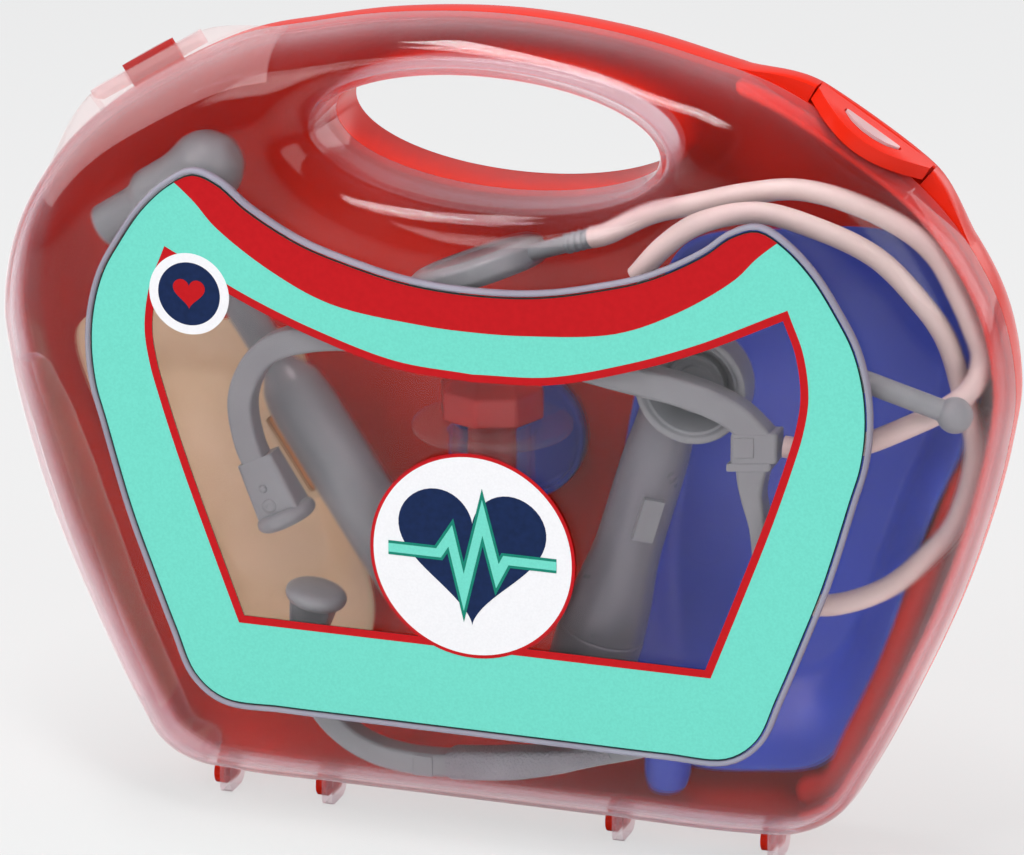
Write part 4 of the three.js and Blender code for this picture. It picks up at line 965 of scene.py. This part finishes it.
# Rod with a ball tip
BALL_RADIUS = 5.1
ROD_RADIUS = 3.1
rod_ball = np.array((136.2, -16.6, 143))
rod_run = np.array((99, -23.1, 156)) - rod_ball
rod_length = np.linalg.norm(rod_run)
ball_turn = np.linspace(0.2, math.radians(142), 24)
ball = [(BALL_RADIUS * math.sin(a), -BALL_RADIUS * math.cos(a)) for a in ball_turn]
shaft = rounded([(ROD_RADIUS, 5), (ROD_RADIUS, rod_length), (0, rod_length)], [0, 0.5, 0])
lathe("rod", [*ball, *shaft], rod_ball, rod_run, grey, "rear_half", "ball_rod")


# Splint clip: an oblong link with a bar through it, beside the hammer's grip
CLIP_ALONG = 49.5
CLIP_ASIDE = 13.8


def at_clip(along, across, height):
    x, _, z = hammer_end + hammer_axis * (CLIP_ALONG + along) + hammer_side * (CLIP_ASIDE + across)
    return (x, SPLINT_RIM - height, z)


plate("splint_link", box(15, 4.6, 4.4, 8), 0, 3.8, at_clip, cream, "rear_half", "splint",
      holes=[box(12.6, 2.4, 1.6, 8)], bevel=0.8)
plate("clip_bar", box(12.3, 2.1, 1.4, 8), 0.3, 2.2, at_clip, apricot, "rear_half", "splint_clip", bevel=0.4)
for i, along in enumerate((-1.2, 1.2)):
    plate(f"clip_tick_{i + 1}", box(0.3, 1.4, 0.1, 8) + (along, 0), 2, 2.7, at_clip, apricot, "rear_half",
          "splint_clip")

# Thumb switch on the otoscope's handle, which keeps the part's own shape
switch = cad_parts["otoscope_switch"]
switch.data.materials.clear()
switch.data.materials.append(grey)
soften(switch, 0.5)


# Stage and lights

def shown(tree):
    """One for rays that see the stage from the camera, straight or through clear plastic."""
    rays = tree.nodes.new("ShaderNodeLightPath")
    direct = calc(tree, "LESS_THAN", rays.outputs["Diffuse Depth"], 0.5)
    through = calc(tree, "MULTIPLY", rays.outputs["Is Transmission Ray"], direct)
    return calc(tree, "MAXIMUM", rays.outputs["Is Camera Ray"], through)


def mix_surface(tree, share, first, second, output):
    mix = add(tree, "ShaderNodeMixShader", {0: share, 1: first, 2: second})
    feed(tree, tree.nodes[output], {"Surface": mix.outputs["Shader"]})


FLOOR_REACH = 4
floor_mesh = bpy.data.meshes.new("floor")
floor_corners = [(x * FLOOR_REACH, y * FLOOR_REACH, 0) for x, y in ((-1, -1), (1, -1), (1, 1), (-1, 1))]
floor_mesh.from_pydata(floor_corners, [], [(0, 1, 2, 3)])
floor = bpy.data.objects.new("floor", floor_mesh)
scene.collection.objects.link(floor)
floor_look = bpy.data.materials.new("floor")
floor_look.use_nodes = True
tree = floor_look.node_tree
paper = feed(tree, tree.nodes["Principled BSDF"], {
    "Base Color": (0.9, 0.9, 0.9, 1), "Roughness": 0.9, "Specular IOR Level": 0.1,
})
# Seen mostly through, against the white world, so that the front half also shows where it swings below the floor
FLOOR_CLEARNESS = 0.75
nothing = tree.nodes.new("ShaderNodeBsdfTransparent")
shadow_ray = tree.nodes.new("ShaderNodeLightPath").outputs["Is Shadow Ray"]
passing = calc(tree, "MAXIMUM", shown(tree), shadow_ray)
mix_surface(tree, calc(tree, "MULTIPLY", passing, FLOOR_CLEARNESS), paper.outputs["BSDF"], nothing.outputs["BSDF"],
            "Material Output")
floor_mesh.materials.append(floor_look)

world = bpy.data.worlds.new("world")
world.use_nodes = True
scene.world = world
tree = world.node_tree
soft = feed(tree, tree.nodes["Background"], {"Color": (0.94, 0.96, 1, 1), "Strength": 0.4})
white = add(tree, "ShaderNodeBackground", {"Strength": 1.0})
mix_surface(tree, shown(tree), soft.outputs["Background"], white.outputs["Background"], "World Output")


def lamp(name, place, target, width, height, power):
    data = bpy.data.lights.new(name, "AREA")
    data.shape = "RECTANGLE"
    data.size, data.size_y, data.energy = width, height, power
    obj = bpy.data.objects.new(name, data)
    obj.location = place
    obj.rotation_euler = (Vector(target) - Vector(place)).to_track_quat("-Z", "Y").to_euler()
    scene.collection.objects.link(obj)


lamp("key", (-0.9, -1.2, 1.5), (0, 0, 0.12), 1.3, 0.9, 16)
lamp("fill", (1.3, -1.0, 1.1), (0, 0, 0.12), 1.0, 1.0, 8)
lamp("top", (-0.25, -0.2, 1.75), (0, 0, 0.15), 1.5, 0.2, 20)
lamp("behind", (0.9, 1.3, 0.6), (0, 0, 0.12), 1.2, 0.9, 6)
